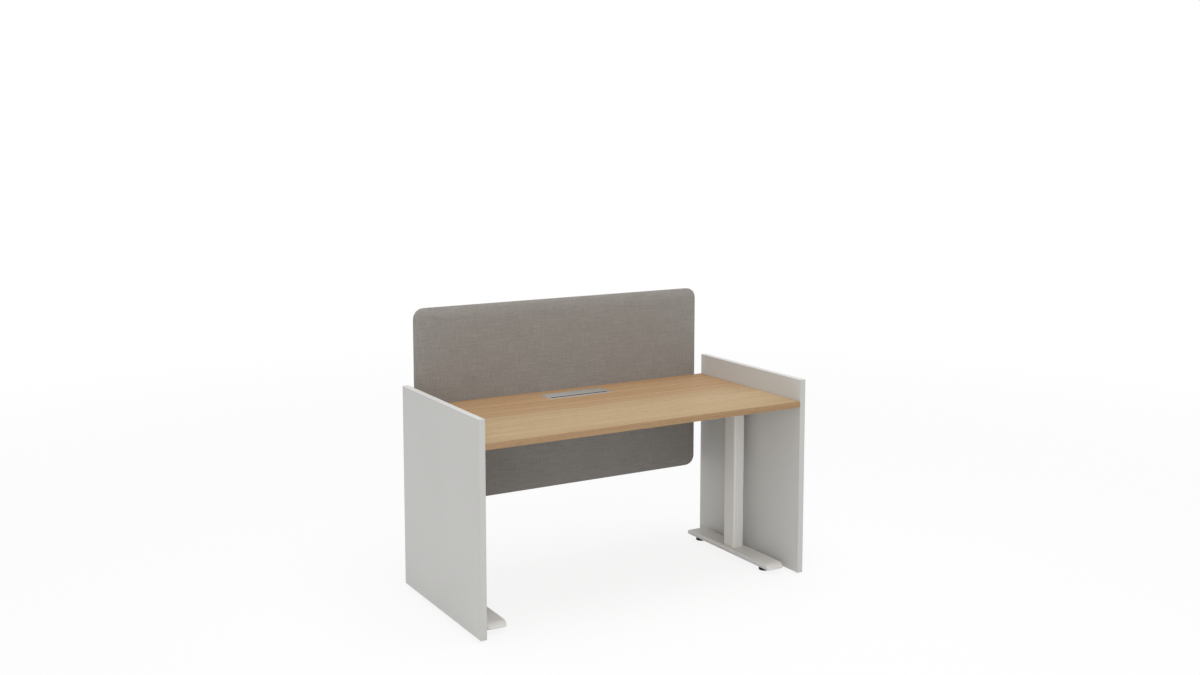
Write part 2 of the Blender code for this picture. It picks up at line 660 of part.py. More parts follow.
def build_flap(lift):
    """A frame let into the top, a lid that hinges on a pin at the rear, and a cable slot along the front."""
    front = DESK_Y + FLAP_FRONT
    rear = DESK_Y + FLAP_REAR
    middle_y = (front + rear) / 2
    frame_bottom = TOP_UNDERSIDE + GAP
    frame_height = FLAP_SURFACE - frame_bottom
    opening_half = FLAP_WIDTH / 2 - FLAP_SIDE
    opening_front = front + FLAP_FRONT_BAR
    opening_rear = rear - FLAP_REAR_BAR
    hinge_y = opening_rear - BARREL_ROOM
    hinge_z = FLAP_SURFACE - BARREL_RADIUS
    hinge = empty("flap_hinge", (0.0, hinge_y, hinge_z), lift)

    ledge_half = opening_half - FLAP_LEDGE
    outside = rectangle(-FLAP_WIDTH / 2, front - middle_y, FLAP_WIDTH / 2, rear - middle_y)
    inside = rectangle(-ledge_half, opening_front - middle_y, ledge_half, opening_rear - middle_y)
    frame_mesh = drawn_mesh("flap_frame", [outside, inside], frame_height)
    frame = node("flap_frame", frame_mesh, SILVER, lift, (0.0, middle_y, frame_bottom + frame_height / 2))
    seat_depth = LID_THICKNESS + GAP
    seat = (2 * opening_half, opening_rear - opening_front, 2 * seat_depth)
    seat_place = (0.0, (opening_front + opening_rear) / 2, FLAP_SURFACE)
    combine(frame, cutter(box_mesh("lid_seat", seat), lift, seat_place))
    barrel_front = hinge_y - 2 * BARREL_ROOM
    barrel_seat = (2 * opening_half, opening_rear - barrel_front, 4 * BARREL_ROOM)
    barrel_place = (0.0, (barrel_front + opening_rear) / 2, FLAP_SURFACE)
    combine(frame, cutter(box_mesh("barrel_seat", barrel_seat), lift, barrel_place))
    pin_length = 2 * (opening_half + PIN_OVERHANG)
    sideways = Matrix.Rotation(math.radians(90), 4, "Y")
    pin_hole = cylinder_mesh("pin_hole", PIN_RADIUS + GAP, pin_length + 2 * GAP, sideways)
    combine(frame, cutter(pin_hole, lift, (0.0, hinge_y, hinge_z)))

    pin = cylinder_mesh("flap_pin", PIN_RADIUS, pin_length, sideways)
    shade_round(pin)
    node("flap_pin", pin, ZINC, lift, (0.0, hinge_y, hinge_z))

    lid_front = opening_front + SLOT_WIDTH - hinge_y
    underside = BARREL_RADIUS - LID_THICKNESS
    barrel = arc((0.0, 0.0), BARREL_RADIUS, 90, -90, 12)
    below = [(-2 * BARREL_RADIUS, underside), (lid_front, underside)]
    lid_outline = [(lid_front, BARREL_RADIUS), *barrel, *below]
    pin_hole = circle(PIN_RADIUS + GAP, steps=16)
    lid_mesh = drawn_mesh("flap_lid", [lid_outline, pin_hole], 2 * (opening_half - GAP), ALONG)
    node("flap_lid", lid_mesh, SILVER, hinge, (0.0, hinge_y, hinge_z))


def build_cable_tray(lift):
    """A folded tray with a flange along each long edge, open at both ends and above."""
    top = TOP_UNDERSIDE - GAP
    sheet = TRAY_SHEET
    outline = [
        (TRAY_FRONT - TRAY_FLANGE, top),
        (TRAY_FRONT - TRAY_FLANGE, top - sheet),
        (TRAY_FRONT, top - sheet),
        (TRAY_FRONT, TRAY_BOTTOM),
        (TRAY_REAR, TRAY_BOTTOM),
        (TRAY_REAR, top - sheet),
        (TRAY_REAR + TRAY_FLANGE, top - sheet),
        (TRAY_REAR + TRAY_FLANGE, top),
        (TRAY_REAR - sheet, top),
        (TRAY_REAR - sheet, TRAY_BOTTOM + sheet),
        (TRAY_FRONT + sheet, TRAY_BOTTOM + sheet),
        (TRAY_FRONT + sheet, top),
    ]
    tray = drawn_mesh("cable_tray", [outline], TRAY_LENGTH, ALONG)
    node("cable_tray", tray, GREY_PAINT, lift, (0.0, DESK_Y, 0.0))


def build_control_box(lift):
    """A mounting plate with ears, a cover hanging from it with sockets in one end, and the board inside."""
    box_y = DESK_Y + BOX_Y
    plate_z = TOP_UNDERSIDE - GAP - BOX_PLATE / 2
    plate = box_mesh("control_box_base", (BOX_LENGTH + 2 * BOX_EAR, BOX_DEPTH, BOX_PLATE))
    node("control_box_base", plate, DARK_GREY, lift, (BOX_X, box_y, plate_z))

    cover_top = plate_z - BOX_PLATE / 2 - GAP
    cover_z = cover_top - BOX_HEIGHT / 2
    cover_mesh = box_mesh("control_box_cover", (BOX_LENGTH, BOX_DEPTH, BOX_HEIGHT))
    cover = node("control_box_cover", cover_mesh, DARK_GREY, lift, (BOX_X, box_y, cover_z))
    round_edges(cover, BOX_EDGE)
    room_length = BOX_LENGTH - BOX_WALL - SOCKET_WALL
    room_depth = BOX_DEPTH - 2 * BOX_WALL
    room_x = BOX_X + (BOX_WALL - SOCKET_WALL) / 2
    room = box_mesh("cover_room", (room_length, room_depth, 2 * (BOX_HEIGHT - BOX_WALL)))
    combine(cover, cutter(room, lift, (room_x, box_y, cover_top)))
    for along, width, height in SOCKETS:
        socket = box_mesh("socket", (2 * SOCKET_DEPTH, width, height))
        combine(cover, cutter(socket, lift, (BOX_X + BOX_LENGTH / 2, box_y + along, cover_z)))

    board_size = (room_length - 2 * BOARD_MARGIN, room_depth - 2 * BOARD_MARGIN, BOARD_THICKNESS)
    board_z = cover_top - BOX_HEIGHT + BOX_WALL + BOARD_MARGIN
    board_mesh = box_mesh("control_board", board_size)
    board = node("control_board", board_mesh, BOARD_GREEN, lift, (room_x, box_y, board_z))
    transformer = box_mesh("transformer", TRANSFORMER)
    transformer_place = (room_x - room_length / 4, box_y, board_z + TRANSFORMER[2] / 2)
    combine(board, cutter(transformer, lift, transformer_place), "UNION")


def build_handset(lift):
    """A flat handset under the front edge, with two buttons that are pressed towards the rear."""
    top = TOP_UNDERSIDE - GAP
    front = DESK_Y + HANDSET_FRONT
    outline = [(0.0, 0.0), (0.0, -HANDSET_HEIGHT), (HANDSET_DEPTH / 2, -HANDSET_HEIGHT)]
    outline += [(HANDSET_DEPTH, -HANDSET_BACK), (HANDSET_DEPTH, 0.0)]
    body_mesh = drawn_mesh("handset_body", [outline], HANDSET_LENGTH, ALONG)
    body = node("handset_body", body_mesh, DARK_GREY, lift, (HANDSET_X, front, top))
    round_edges(body, HANDSET_EDGE)
    button_z = top - HANDSET_HEIGHT / 2
    button_y = front - BUTTON_PROUD + BUTTON_DEPTH / 2
    well_depth = BUTTON_DEPTH - BUTTON_PROUD + BUTTON_ROOM
    for word, side in (("down", -1), ("up", 1)):
        button_x = HANDSET_X + side * BUTTON_PITCH / 2
        well = box_mesh("button_well", (BUTTON_LENGTH + 2 * GAP, 2 * well_depth, BUTTON_HEIGHT + 2 * GAP))
        combine(body, cutter(well, lift, (button_x, front, button_z)))
        cap = box_mesh("button", (BUTTON_LENGTH, BUTTON_DEPTH, BUTTON_HEIGHT))
        button = node(f"handset_{word}_button", cap, WHITE_PLASTIC, lift, (button_x, button_y, button_z))
        round_edges(button, BUTTON_EDGE)


def build_desk():
    stand = empty("stand", (0.0, DESK_Y, 0.0))
    lift = empty("lift", (0.0, DESK_Y, TOP_UNDERSIDE), stand)
    for side, sign in SIDES.items():
        x = sign * LEG_X
        build_foot(side, stand, x)
        build_levellers(side, stand, x)
        build_foot_bolts(side, stand, x)
        build_fixed_column(side, stand, x)
        build_rising_column(side, lift, x)
        build_support_arm(side, lift, x)
        build_side_panel(side, lift, sign)
        build_panel_brackets(side, lift, sign)
        build_screen_bracket(side, lift, sign)
    build_cross_rails(lift)
    build_top(lift)
    build_screen(lift)
    build_flap(lift)
    build_cable_tray(lift)
    build_control_box(lift)
    build_handset(lift)


build_desk()
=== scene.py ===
# %% [markdown]
# # Dressing a height-adjustable desk
# The desk comes in as plain solids in one frame: metres, +Z up, the sitter at -Y and the screen at +Y. We
# give every solid the surface of the real thing, and replace the ones whose shape is finer than a plain
# solid shows: the edged boards, the upholstered screen, the pressed feet and the small hardware. The
# frame stays fixed. A new piece is put where its solid is and rides on the same body.

# %% Load the plain desk
import json
import math

import bmesh
import bpy
import numpy as np
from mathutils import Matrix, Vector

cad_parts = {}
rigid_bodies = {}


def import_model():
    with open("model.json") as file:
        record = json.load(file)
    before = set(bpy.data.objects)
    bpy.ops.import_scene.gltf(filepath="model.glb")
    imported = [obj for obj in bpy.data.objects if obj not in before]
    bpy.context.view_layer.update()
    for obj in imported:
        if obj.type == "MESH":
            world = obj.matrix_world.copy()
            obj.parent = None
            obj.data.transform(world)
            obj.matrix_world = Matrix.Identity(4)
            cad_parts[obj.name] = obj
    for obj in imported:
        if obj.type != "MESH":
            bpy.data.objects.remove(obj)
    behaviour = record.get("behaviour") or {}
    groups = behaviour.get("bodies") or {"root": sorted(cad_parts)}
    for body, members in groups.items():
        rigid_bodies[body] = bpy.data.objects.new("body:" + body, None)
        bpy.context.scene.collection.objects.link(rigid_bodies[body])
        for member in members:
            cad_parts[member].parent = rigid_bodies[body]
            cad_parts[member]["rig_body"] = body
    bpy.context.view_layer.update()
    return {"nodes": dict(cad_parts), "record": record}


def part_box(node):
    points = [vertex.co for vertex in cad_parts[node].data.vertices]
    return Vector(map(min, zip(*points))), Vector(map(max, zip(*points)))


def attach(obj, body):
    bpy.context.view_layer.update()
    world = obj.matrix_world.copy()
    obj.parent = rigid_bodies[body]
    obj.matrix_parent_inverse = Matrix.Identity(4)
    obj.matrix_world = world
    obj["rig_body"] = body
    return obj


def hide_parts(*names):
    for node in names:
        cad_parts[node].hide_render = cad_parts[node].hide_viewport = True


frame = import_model()
slot_of = {row["node"]: row["material_slot"] for row in frame["record"]["subparts"]}
body_of = {name: item["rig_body"] for name, item in frame["nodes"].items()}


def rounded(values):
    """Measures for printing, to a tenth of a millimetre."""
    return np.round(values, 4).tolist()


# %% [markdown]
# ## Camera
# The desk is seen from its front left, from a little above head height. Upright edges stay almost
# parallel in such a product picture, because the camera is nearly level and its frame is shifted down
# instead of tilted. A large shift would push the desk out of frame in every other view, so most of the
# way down is a small pitch.

# %% Camera at the viewing angle
CAMERA_PLACE = (-2.667, -4.509, 1.846)
CAMERA_YAW = math.radians(30.4)
CAMERA_PITCH = math.radians(6.17)
FRAME_SHIFT = -0.06
FOCAL_PIXELS = 1332.8
IMAGE_WIDTH = 1200
SENSOR_WIDTH = 36.0


def place_object(name, data):
    """A new object at the origin, linked into the scene."""
    made = bpy.data.objects.new(name, data)
    bpy.context.scene.collection.objects.link(made)
    return made


camera = place_object("camera", bpy.data.cameras.new("camera"))
camera.location = CAMERA_PLACE
camera.rotation_euler = (math.pi / 2 - CAMERA_PITCH, 0.0, -CAMERA_YAW)
camera.data.sensor_width = SENSOR_WIDTH
camera.data.lens = SENSOR_WIDTH * FOCAL_PIXELS / IMAGE_WIDTH
camera.data.shift_y = FRAME_SHIFT
bpy.context.scene.camera = camera
bpy.context.scene.view_settings.view_transform = "Standard"
print("lens", round(camera.data.lens, 2), "mm")

# %% [markdown]
# ## Shader nodes
# Sky, floor and finishes are all small graphs of nodes. Written out by hand, each link is a line of its
# own, and the drawing gets lost among them. Here a node is one call: its sockets take either a value or
# another node's output, so a finish below reads like a formula.

# %% Node helpers
WHITE = (1.0, 1.0, 1.0, 1.0)


def feed(tree, value, target):
    """Links an output to an input socket, or gives the socket a value of its own."""
    if isinstance(value, bpy.types.NodeSocket):
        tree.links.new(value, target)
    else:
        target.default_value = value


def add(tree, kind, sockets=None, **settings):
    """A shader node of one kind, with its settings, and a value or a link for each socket named."""
    made = tree.nodes.new("ShaderNode" + kind)
    for name, value in settings.items():
        setattr(made, name, value)
    for name, value in (sockets or {}).items():
        feed(tree, value, made.inputs[name])
    return made


def math_node(tree, operation, *values):
    """One arithmetic step on values or outputs; returns its result."""
    return add(tree, "Math", dict(enumerate(values)), operation=operation).outputs[0]


def mix_shader(tree, share, first, second):
    """The first shader where the share is 0, the second where it is 1."""
    return add(tree, "MixShader", {0: share, 1: first.outputs[0], 2: second.outputs[0]})


def seen_rays(tree):
    """1 for rays from the camera or from a mirror or glass, 0 for rays that gather light."""
    path = add(tree, "LightPath").outputs
    glossy = math_node(tree, "MAXIMUM", path["Is Glossy Ray"], path["Is Transmission Ray"])
    return math_node(tree, "MAXIMUM", path["Is Camera Ray"], glossy)


def empty_tree(owner):
    """The bare node tree of a new world or material."""
    owner.use_nodes = True
    owner.node_tree.nodes.clear()
    return owner.node_tree


print("node helpers ready")

# %% [markdown]
# ## Sky and floor
# A white studio is mostly even light from all round, and the sky gives that part. What the camera sees of
# sky and floor is white, and near the desk the floor still takes a part of its shadow. That part fades
# out with the distance, so the floor has no edge. From below the floor is clear, because the underside is
# looked at as well.

# %% Sky and floor
SKY_LIGHT = 0.61
FLOOR_COLOUR = (0.95, 0.95, 0.95, 1.0)
FLOOR_GLOW_NEAR = 0.85
FLOOR_GLOW_FROM, FLOOR_GLOW_TO = 1.5, 6.0
FLOOR_RADIUS = 30.0
FLOOR_SIDES = 64


def white_sky():
    """Even light for the rays that gather it, and plain white for the rays that are seen."""
    world = bpy.data.worlds.new("white_sky")
    tree = empty_tree(world)
    light = add(tree, "Background", {"Strength": SKY_LIGHT, "Color": WHITE})
    shown = add(tree, "Background", {"Strength": 1.0, "Color": WHITE})
    mixed = mix_shader(tree, seen_rays(tree), light, shown)
    add(tree, "OutputWorld", {"Surface": mixed.outputs[0]})
    bpy.context.scene.world = world


def pale_floor():
    """A disc at floor level, (r cos a, r sin a, 0), with its glow and its clear underside."""
    angle = np.linspace(0, 2 * math.pi, FLOOR_SIDES, endpoint=False)
    rim = FLOOR_RADIUS * np.stack([np.cos(angle), np.sin(angle), 0 * angle], -1)
    mesh = bpy.data.meshes.new("floor")
    mesh.from_pydata(rim.tolist(), [], [list(range(FLOOR_SIDES))])
    floor = place_object("floor", mesh)
    finish = bpy.data.materials.new("pale_floor")
    mesh.materials.append(finish)
    tree = empty_tree(finish)
    seen = seen_rays(tree)
    paint = add(tree, "BsdfDiffuse", {"Color": FLOOR_COLOUR})
    glow = add(tree, "Emission", {"Color": WHITE, "Strength": 1.0})
    place = add(tree, "TexCoord").outputs["Object"]
    away = add(tree, "VectorMath", {0: place}, operation="LENGTH").outputs["Value"]
    fade = add(tree, "MapRange", {
        "Value": away, "From Min": FLOOR_GLOW_FROM, "From Max": FLOOR_GLOW_TO,
        "To Min": FLOOR_GLOW_NEAR, "To Max": 1.0,
    })
    upper = mix_shader(tree, math_node(tree, "MULTIPLY", seen, fade.outputs[0]), paint, glow)
    behind = add(tree, "NewGeometry").outputs["Backfacing"]
    clear = add(tree, "BsdfTransparent")
    both = mix_shader(tree, math_node(tree, "MULTIPLY", behind, seen), upper, clear)
    add(tree, "OutputMaterial", {"Surface": both.outputs[0]})


white_sky()
pale_floor()
print("sky", SKY_LIGHT, "and a floor of", FLOOR_RADIUS, "m radius")

# %% [markdown]
# ## Lamps
# Three large soft lamps give the rest, at a level where a colour renders about as it is written. The one
# above makes level faces lighter than upright ones. The one beside the camera hides its own shadows
# behind the desk, so the inner faces stay light, and a weak one high in front joins the two.

# %% Lamps
DESK_MIDDLE = (0.0, 0.0, 0.6)
SOFT_LAMPS = {
    "lamp_above": {"place": (0.15, -0.55, 4.2), "size": 2.8, "power": 72},
    "lamp_high_front": {"place": (-1.6, -3.6, 3.6), "size": 3.0, "power": 18},
    "lamp_beside_camera": {"place": (-6.0, -9.4, 2.8), "size": 6.0, "power": 179},
}


def soft_lamp(name, place, size, power):
    """A round lamp that is turned from its place towards the middle of the desk."""
    lamp = place_object(name, bpy.data.lights.new(name, "AREA"))
    lamp.data.shape = "DISK"
    lamp.data.size = size
    lamp.data.energy = power
    lamp.location = place
    toward = np.subtract(DESK_MIDDLE, place)
    level = math.hypot(toward[0], toward[1])
    lamp.rotation_euler = (math.atan2(level, -toward[2]), 0.0, math.atan2(-toward[0], toward[1]))


for name, values in SOFT_LAMPS.items():
    soft_lamp(name, **values)
print(len(SOFT_LAMPS), "soft lamps")

# %% [markdown]
# ## Patterns for finishes
# Every finish is drawn with noise at a few scales, as the real ones are: a slow drift of tone, a grain or
# weave, and a fine roughness that only shows in the light. Noise is sampled in metres on the piece's own
# coordinates, so a pattern keeps its true size on every piece. These helpers keep the finishes below
# short.

# %% Pattern helpers
finishes = {}


def new_finish(name, roughness, metallic=0.0, **sockets):
    """A named finish with the values that are the same all over set on its shader."""
    finish = finishes[name] = bpy.data.materials.new(name)
    finish.use_nodes = True
    shader = finish.node_tree.nodes["Principled BSDF"]
    shader.inputs["Roughness"].default_value = roughness
    shader.inputs["Metallic"].default_value = metallic
    for socket, value in sockets.items():
        shader.inputs[socket.replace("_", " ")].default_value = value
    return finish.node_tree, shader


def piece_place(tree):
    """Where a point is on the piece, in metres."""
    return add(tree, "TexCoord").outputs["Object"]


def noise(tree, place, stretch, detail=3.0, rough=0.5, shift=0.0):
    """Noise whose features are 1 / stretch metres long, in every direction or in each of three."""
    scale = np.broadcast_to(stretch, 3).tolist()
    mapped = add(tree, "Mapping", {"Vector": place, "Scale": scale, "Location": (shift, shift, shift)})
    sockets = {"Vector": mapped.outputs[0], "Scale": 1.0, "Detail": detail, "Roughness": rough}
    return add(tree, "TexNoise", sockets).outputs["Fac"]


def ramp(tree, value, *stops):
    """Colours along a value: each stop is (place, colour)."""
    made = add(tree, "ValToRGB", {0: value})
    elements = made.color_ramp.elements
    for _ in stops[2:]:
        elements.new(1.0)
    for element, (place, colour) in zip(elements, stops):
        element.position = place
        element.color = (*colour, 1.0)
    return made.outputs[0]


def span(tree, value, low, high, start=0.3, end=0.7, steps="LINEAR"):
    """Takes the range start to end, which is a noise's usual one, to the range low to high."""
    sockets = {"Value": value, "From Min": start, "From Max": end, "To Min": low, "To Max": high}
    return add(tree, "MapRange", sockets, interpolation_type=steps).outputs[0]


def eased(tree, value, start, end):
    """0 at the start of a range and 1 at its end, with a smooth step between."""
    return span(tree, value, 0.0, 1.0, start, end, "SMOOTHSTEP")


def tint(tree, colour, value):
    """A colour, made darker or lighter by a value about 1."""
    return add(tree, "VectorMath", {0: colour, "Scale": value}, operation="SCALE").outputs[0]


def relief(tree, shader, height, strength, distance):
    """Fine bumps of about the given depth in metres."""
    made = add(tree, "Bump", {"Height": height, "Strength": strength, "Distance": distance})
    feed(tree, made.outputs[0], shader.inputs["Normal"])


def coat(tree, shader, colour, roughness=None):
    """Links a drawn colour, and a drawn roughness where there is one, to the shader."""
    feed(tree, colour, shader.inputs["Base Color"])
    if roughness:
        feed(tree, roughness, shader.inputs["Roughness"])


print("pattern helpers ready")

# %% [markdown]
# ## Oak laminate
# The top is a printed oak decor, with the grain along the width. Three noises are stretched along X:
# broad bands as wide as a hand, streaks of a few millimetres and fibres under one. A slow wave bends all
# of them a little, because straight lines would look ruled. Short dark pores are cut by a threshold and
# also pressed into the sheet. The rear half, towards the screen, is painted darker and redder: painted
# shade from the screen and its warm bounce. A few pale lines run the whole width. The edging is a strip
# of its own, painted browner and darker than the sheet: painted shade on the upright edges.

# %% Oak finish
FRONT_OAK_TONES = (
    (0.36, (0.374, 0.258, 0.139)), (0.47, (0.427, 0.303, 0.171)),
    (0.56, (0.466, 0.339, 0.199)), (0.67, (0.524, 0.401, 0.258)),
)
# Painted shade: darker, redder tones for the rear half of the top, where the screen shades it.
REAR_PAINTED_SHADE_TONES = (
    (0.36, (0.327, 0.189, 0.092)), (0.47, (0.378, 0.231, 0.119)),
    (0.56, (0.414, 0.264, 0.143)), (0.67, (0.472, 0.328, 0.198)),
)
# Painted shade: the edging is a darker, browner copy of the top's oak, for the upright edges.
EDGE_PAINTED_SHADE_TONES = ((0.36, (0.342, 0.209, 0.103)), (0.50, (0.388, 0.249, 0.135)), (0.64, (0.440, 0.298, 0.172)))
# Where the painted shade of the rear tones begins and where it is full, in metres along Y.
REAR_SHADE_FROM, REAR_SHADE_TO = -0.045, 0.060
WAVE_STRETCH = (1.1, 4.0, 4.0)
WAVE_REACH = (0.0, 0.045, 0.012)
BAND_SHARE, STREAK_SHARE, FIBRE_SHARE = 0.42, 0.36, 0.22
PALE_LINES = (0.178, -0.132, -0.236)
PALE_LINE_WIDTH = 0.015
PALE_LINE_TONE = 0.110


def oak_finish(name, front_tones, rear_shaded_tones):
    """Oak grain that goes from the front tones to darker rear tones of painted shade, with pale lines
    along it.
    """
    tree, shader = new_finish(name, 0.62, Specular_IOR_Level=0.20)
    place = piece_place(tree)
    slow = add(tree, "Mapping", {"Vector": place, "Scale": WAVE_STRETCH})
    drift = add(tree, "TexNoise", {"Vector": slow.outputs[0], "Scale": 1.0, "Detail": 2.0})
    sockets = {0: drift.outputs["Color"], 1: (0.5, 0.5, 0.5)}
    aside = add(tree, "VectorMath", sockets, operation="SUBTRACT")
    sockets = {0: aside.outputs[0], 1: WAVE_REACH, 2: place}
    bent = add(tree, "VectorMath", sockets, operation="MULTIPLY_ADD").outputs[0]

    bands = noise(tree, bent, (0.30, 13.0, 13.0), 3.0, 0.55)
    streaks = noise(tree, bent, (0.75, 85.0, 85.0), 4.0, 0.6)
    fibres = noise(tree, bent, (5.0, 520.0, 520.0), 3.0, 0.6)
    tone = math_node(tree, "MULTIPLY", bands, BAND_SHARE)
    tone = math_node(tree, "MULTIPLY_ADD", streaks, STREAK_SHARE, tone)
    tone = math_node(tree, "MULTIPLY_ADD", fibres, FIBRE_SHARE, tone)
    across = add(tree, "SeparateXYZ", {0: bent}).outputs["Y"]
    patchy = noise(tree, bent, (1.6, 30.0, 30.0), 2.0, shift=5.1)
    along = span(tree, patchy, 0.2 * PALE_LINE_TONE, PALE_LINE_TONE, 0.32, 0.62)
    for line in PALE_LINES:
        off = math_node(tree, "ABSOLUTE", math_node(tree, "SUBTRACT", across, line))
        near = eased(tree, off, PALE_LINE_WIDTH, 0.0)
        tone = math_node(tree, "MULTIPLY_ADD", near, along, tone)

    front, rear = (ramp(tree, tone, *tones) for tones in (front_tones, rear_shaded_tones))
    # Painted shade: 0 at the front and 1 at the rear, where the rear tones darken the top near the screen.
    heart = eased(tree, across, REAR_SHADE_FROM, REAR_SHADE_TO)
    mixed = add(tree, "Mix", {0: heart, 6: front, 7: rear}, data_type="RGBA")
    pores = noise(tree, bent, (26.0, 1500.0, 1500.0), 1.0)
    open_pore = span(tree, pores, 1.0, 0.72, 0.59, 0.635)
    coat(tree, shader, tint(tree, mixed.outputs[2], open_pore), span(tree, streaks, 0.68, 0.56))
    relief(tree, shader, math_node(tree, "ADD", fibres, open_pore), 0.10, 0.0003)


oak_finish("oak_laminate", FRONT_OAK_TONES, REAR_PAINTED_SHADE_TONES)
# Painted shade: the edging's finish, darker than the top's.
oak_finish("oak_edging_painted_shade", EDGE_PAINTED_SHADE_TONES, EDGE_PAINTED_SHADE_TONES)
print("oak tones", [stop[1] for stop in FRONT_OAK_TONES])

# %% [markdown]
# ## Light grey laminate and powder coat
# The side panels are faced with a matt pale grey sheet that has a very fine pearl, and their edging strips
# take a darker copy of that grey: painted shade on the panel edges. The legs have a grey powder coat,
# which flows out to a soft orange peel with a trace of speckle; its grey is painted paler than the
# panels', painted light against the shade under the desk. Both look flat from far away, so their noises
# move the tone by only one or two parts in a hundred, and the rest is relief for close views.

# %% Panel and leg finishes
PANEL_GREY = (0.610, 0.606, 0.587)
# Painted shade: the panels' edging grey is a darker copy of the panel grey.
PANEL_EDGE_PAINTED_SHADE_GREY = (0.545, 0.541, 0.524)
# Painted light: the legs' grey is paler than the panels' to lift them out of the shade under the desk.
LEG_GREY_PAINTED_LIGHT = (0.745, 0.732, 0.706)


def pale_finish(name, colour, roughness, peel, peel_depth, cloud_part):
    """A pale coat: slow clouds and fine grains in its tone, and a peel of a given size in its relief."""
    tree, shader = new_finish(name, roughness)
    place = piece_place(tree)
    grains = noise(tree, place, 640.0, 2.0)
    drift = span(tree, noise(tree, place, 3.2), 1.0 - cloud_part, 1.0 + cloud_part)
    shade = math_node(tree, "MULTIPLY", drift, span(tree, grains, 0.975, 1.02))
    gloss = span(tree, grains, roughness - 0.05, roughness + 0.05)
    coat(tree, shader, tint(tree, colour, shade), gloss)
    relief(tree, shader, noise(tree, place, peel, 2.0), 0.25, peel_depth)


pale_finish("light_grey_laminate", PANEL_GREY, 0.52, 950.0, 0.00012, 0.012)
# Painted shade: the edging's finish is the panel finish made darker.
pale_finish("light_grey_edging_painted_shade", PANEL_EDGE_PAINTED_SHADE_GREY, 0.52, 950.0, 0.00012, 0.012)
# Painted light: the leg paint is set paler than the panels, against the shade under the desk.
pale_finish("light_grey_paint", LEG_GREY_PAINTED_LIGHT, 0.46, 330.0, 0.00030, 0.015)
print("panel grey", PANEL_GREY, "leg grey", LEG_GREY_PAINTED_LIGHT)

# %% [markdown]
# ## Woven screen fabric
# The screen is covered in a plain-weave wool of mixed yarns. A plain weave is a chessboard: on one square
# the upright yarn is on top, on the next the level one. The height on a square is the round back of the
# yarn there, the sine of the distance across it. Each yarn is a streak with a tone of its own, so both
# directions show faintly. The pattern reads the cover's own map, which is in metres along the cloth, so
# it turns over the rim with it.

# %% Fabric finish
YARN = 0.0021
CLOTH_TONES = (
    (0.30, (0.195, 0.181, 0.166)), (0.50, (0.283, 0.264, 0.245)), (0.72, (0.381, 0.361, 0.342)),
)
YARN_SHARE, FLECK_SHARE = 0.62, 0.38


def fabric_finish():
    """A chessboard of yarn backs on the cover's map, each yarn with its own tone, and painted shade in the
    dips.
    """
    gloss = {"Specular_IOR_Level": 0.25, "Sheen_Weight": 0.45, "Sheen_Roughness": 0.35}
    tree, shader = new_finish("grey_fabric", 0.95, **gloss)
    cloth = add(tree, "UVMap", uv_map="cloth").outputs[0]
    uneven = add(tree, "TexNoise", {"Vector": cloth, "Scale": 95.0, "Detail": 1.0})
    sockets = {0: uneven.outputs["Color"], 1: (YARN * 0.5, YARN * 0.5, 0.0), 2: cloth}
    wobble = add(tree, "VectorMath", sockets, operation="MULTIPLY_ADD").outputs[0]
    sockets = {"Vector": wobble, "Scale": (1 / YARN, 1 / YARN, 1.0), "Location": (0.0, 0.0, 0.5)}
    counted = add(tree, "Mapping", sockets).outputs[0]
    upright = add(tree, "TexChecker", {"Vector": counted, "Scale": 1.0}).outputs["Fac"]
    yarns = add(tree, "SeparateXYZ", {0: counted}).outputs

    def across(axis):
        """The round back of the yarn: |sin(pi * yarns counted)|."""
        turn = math_node(tree, "MULTIPLY", yarns[axis], math.pi)
        return math_node(tree, "ABSOLUTE", math_node(tree, "SINE", turn))

    def pick(first, second):
        """The first value where the upright yarn is on top, the second where the level one is."""
        return add(tree, "Mix", {0: upright, 2: second, 3: first}, data_type="FLOAT").outputs[0]

    height = pick(across("X"), across("Y"))
    upright_tone = noise(tree, cloth, (330.0, 16.0, 1.0), 3.0, 0.65)
    level_tone = noise(tree, cloth, (16.0, 330.0, 1.0), 3.0, 0.65, 3.7)
    fleck = math_node(tree, "MULTIPLY", noise(tree, cloth, (210.0, 210.0, 1.0), 2.0, 0.6), FLECK_SHARE)
    yarn_tone = math_node(tree, "MULTIPLY_ADD", pick(upright_tone, level_tone), YARN_SHARE, fleck)
    clouds = span(tree, noise(tree, cloth, (13.0, 13.0, 1.0)), 0.975, 1.025)
    # Painted shade: the colour is darker where the yarns' backs dip, in the hollows of the weave.
    valley_painted_shade = span(tree, height, 0.80, 1.06, 0.0, 1.0)
    shade = math_node(tree, "MULTIPLY", clouds, valley_painted_shade)
    coat(tree, shader, tint(tree, ramp(tree, yarn_tone, *CLOTH_TONES), shade))
    relief(tree, shader, height, 0.35, 0.0004)


fabric_finish()
print("yarns every", YARN * 1000, "mm")

# %% [markdown]
# ## Metals
# The cable flap is lacquered silver with a fine satin line along its length. The panels' brackets, plates,
# screws and spindles are zinc plated: a grey metal whose crystals show as cloudy patches of slightly
# different gloss and tint.

# %% Silver and zinc finishes
SILVER_TONES = ((0.30, (0.355, 0.350, 0.337)), (0.70, (0.416, 0.408, 0.392)))
ZINC_TONES = ((0.32, (0.52, 0.53, 0.55)), (0.52, (0.62, 0.62, 0.61)), (0.70, (0.68, 0.66, 0.60)))


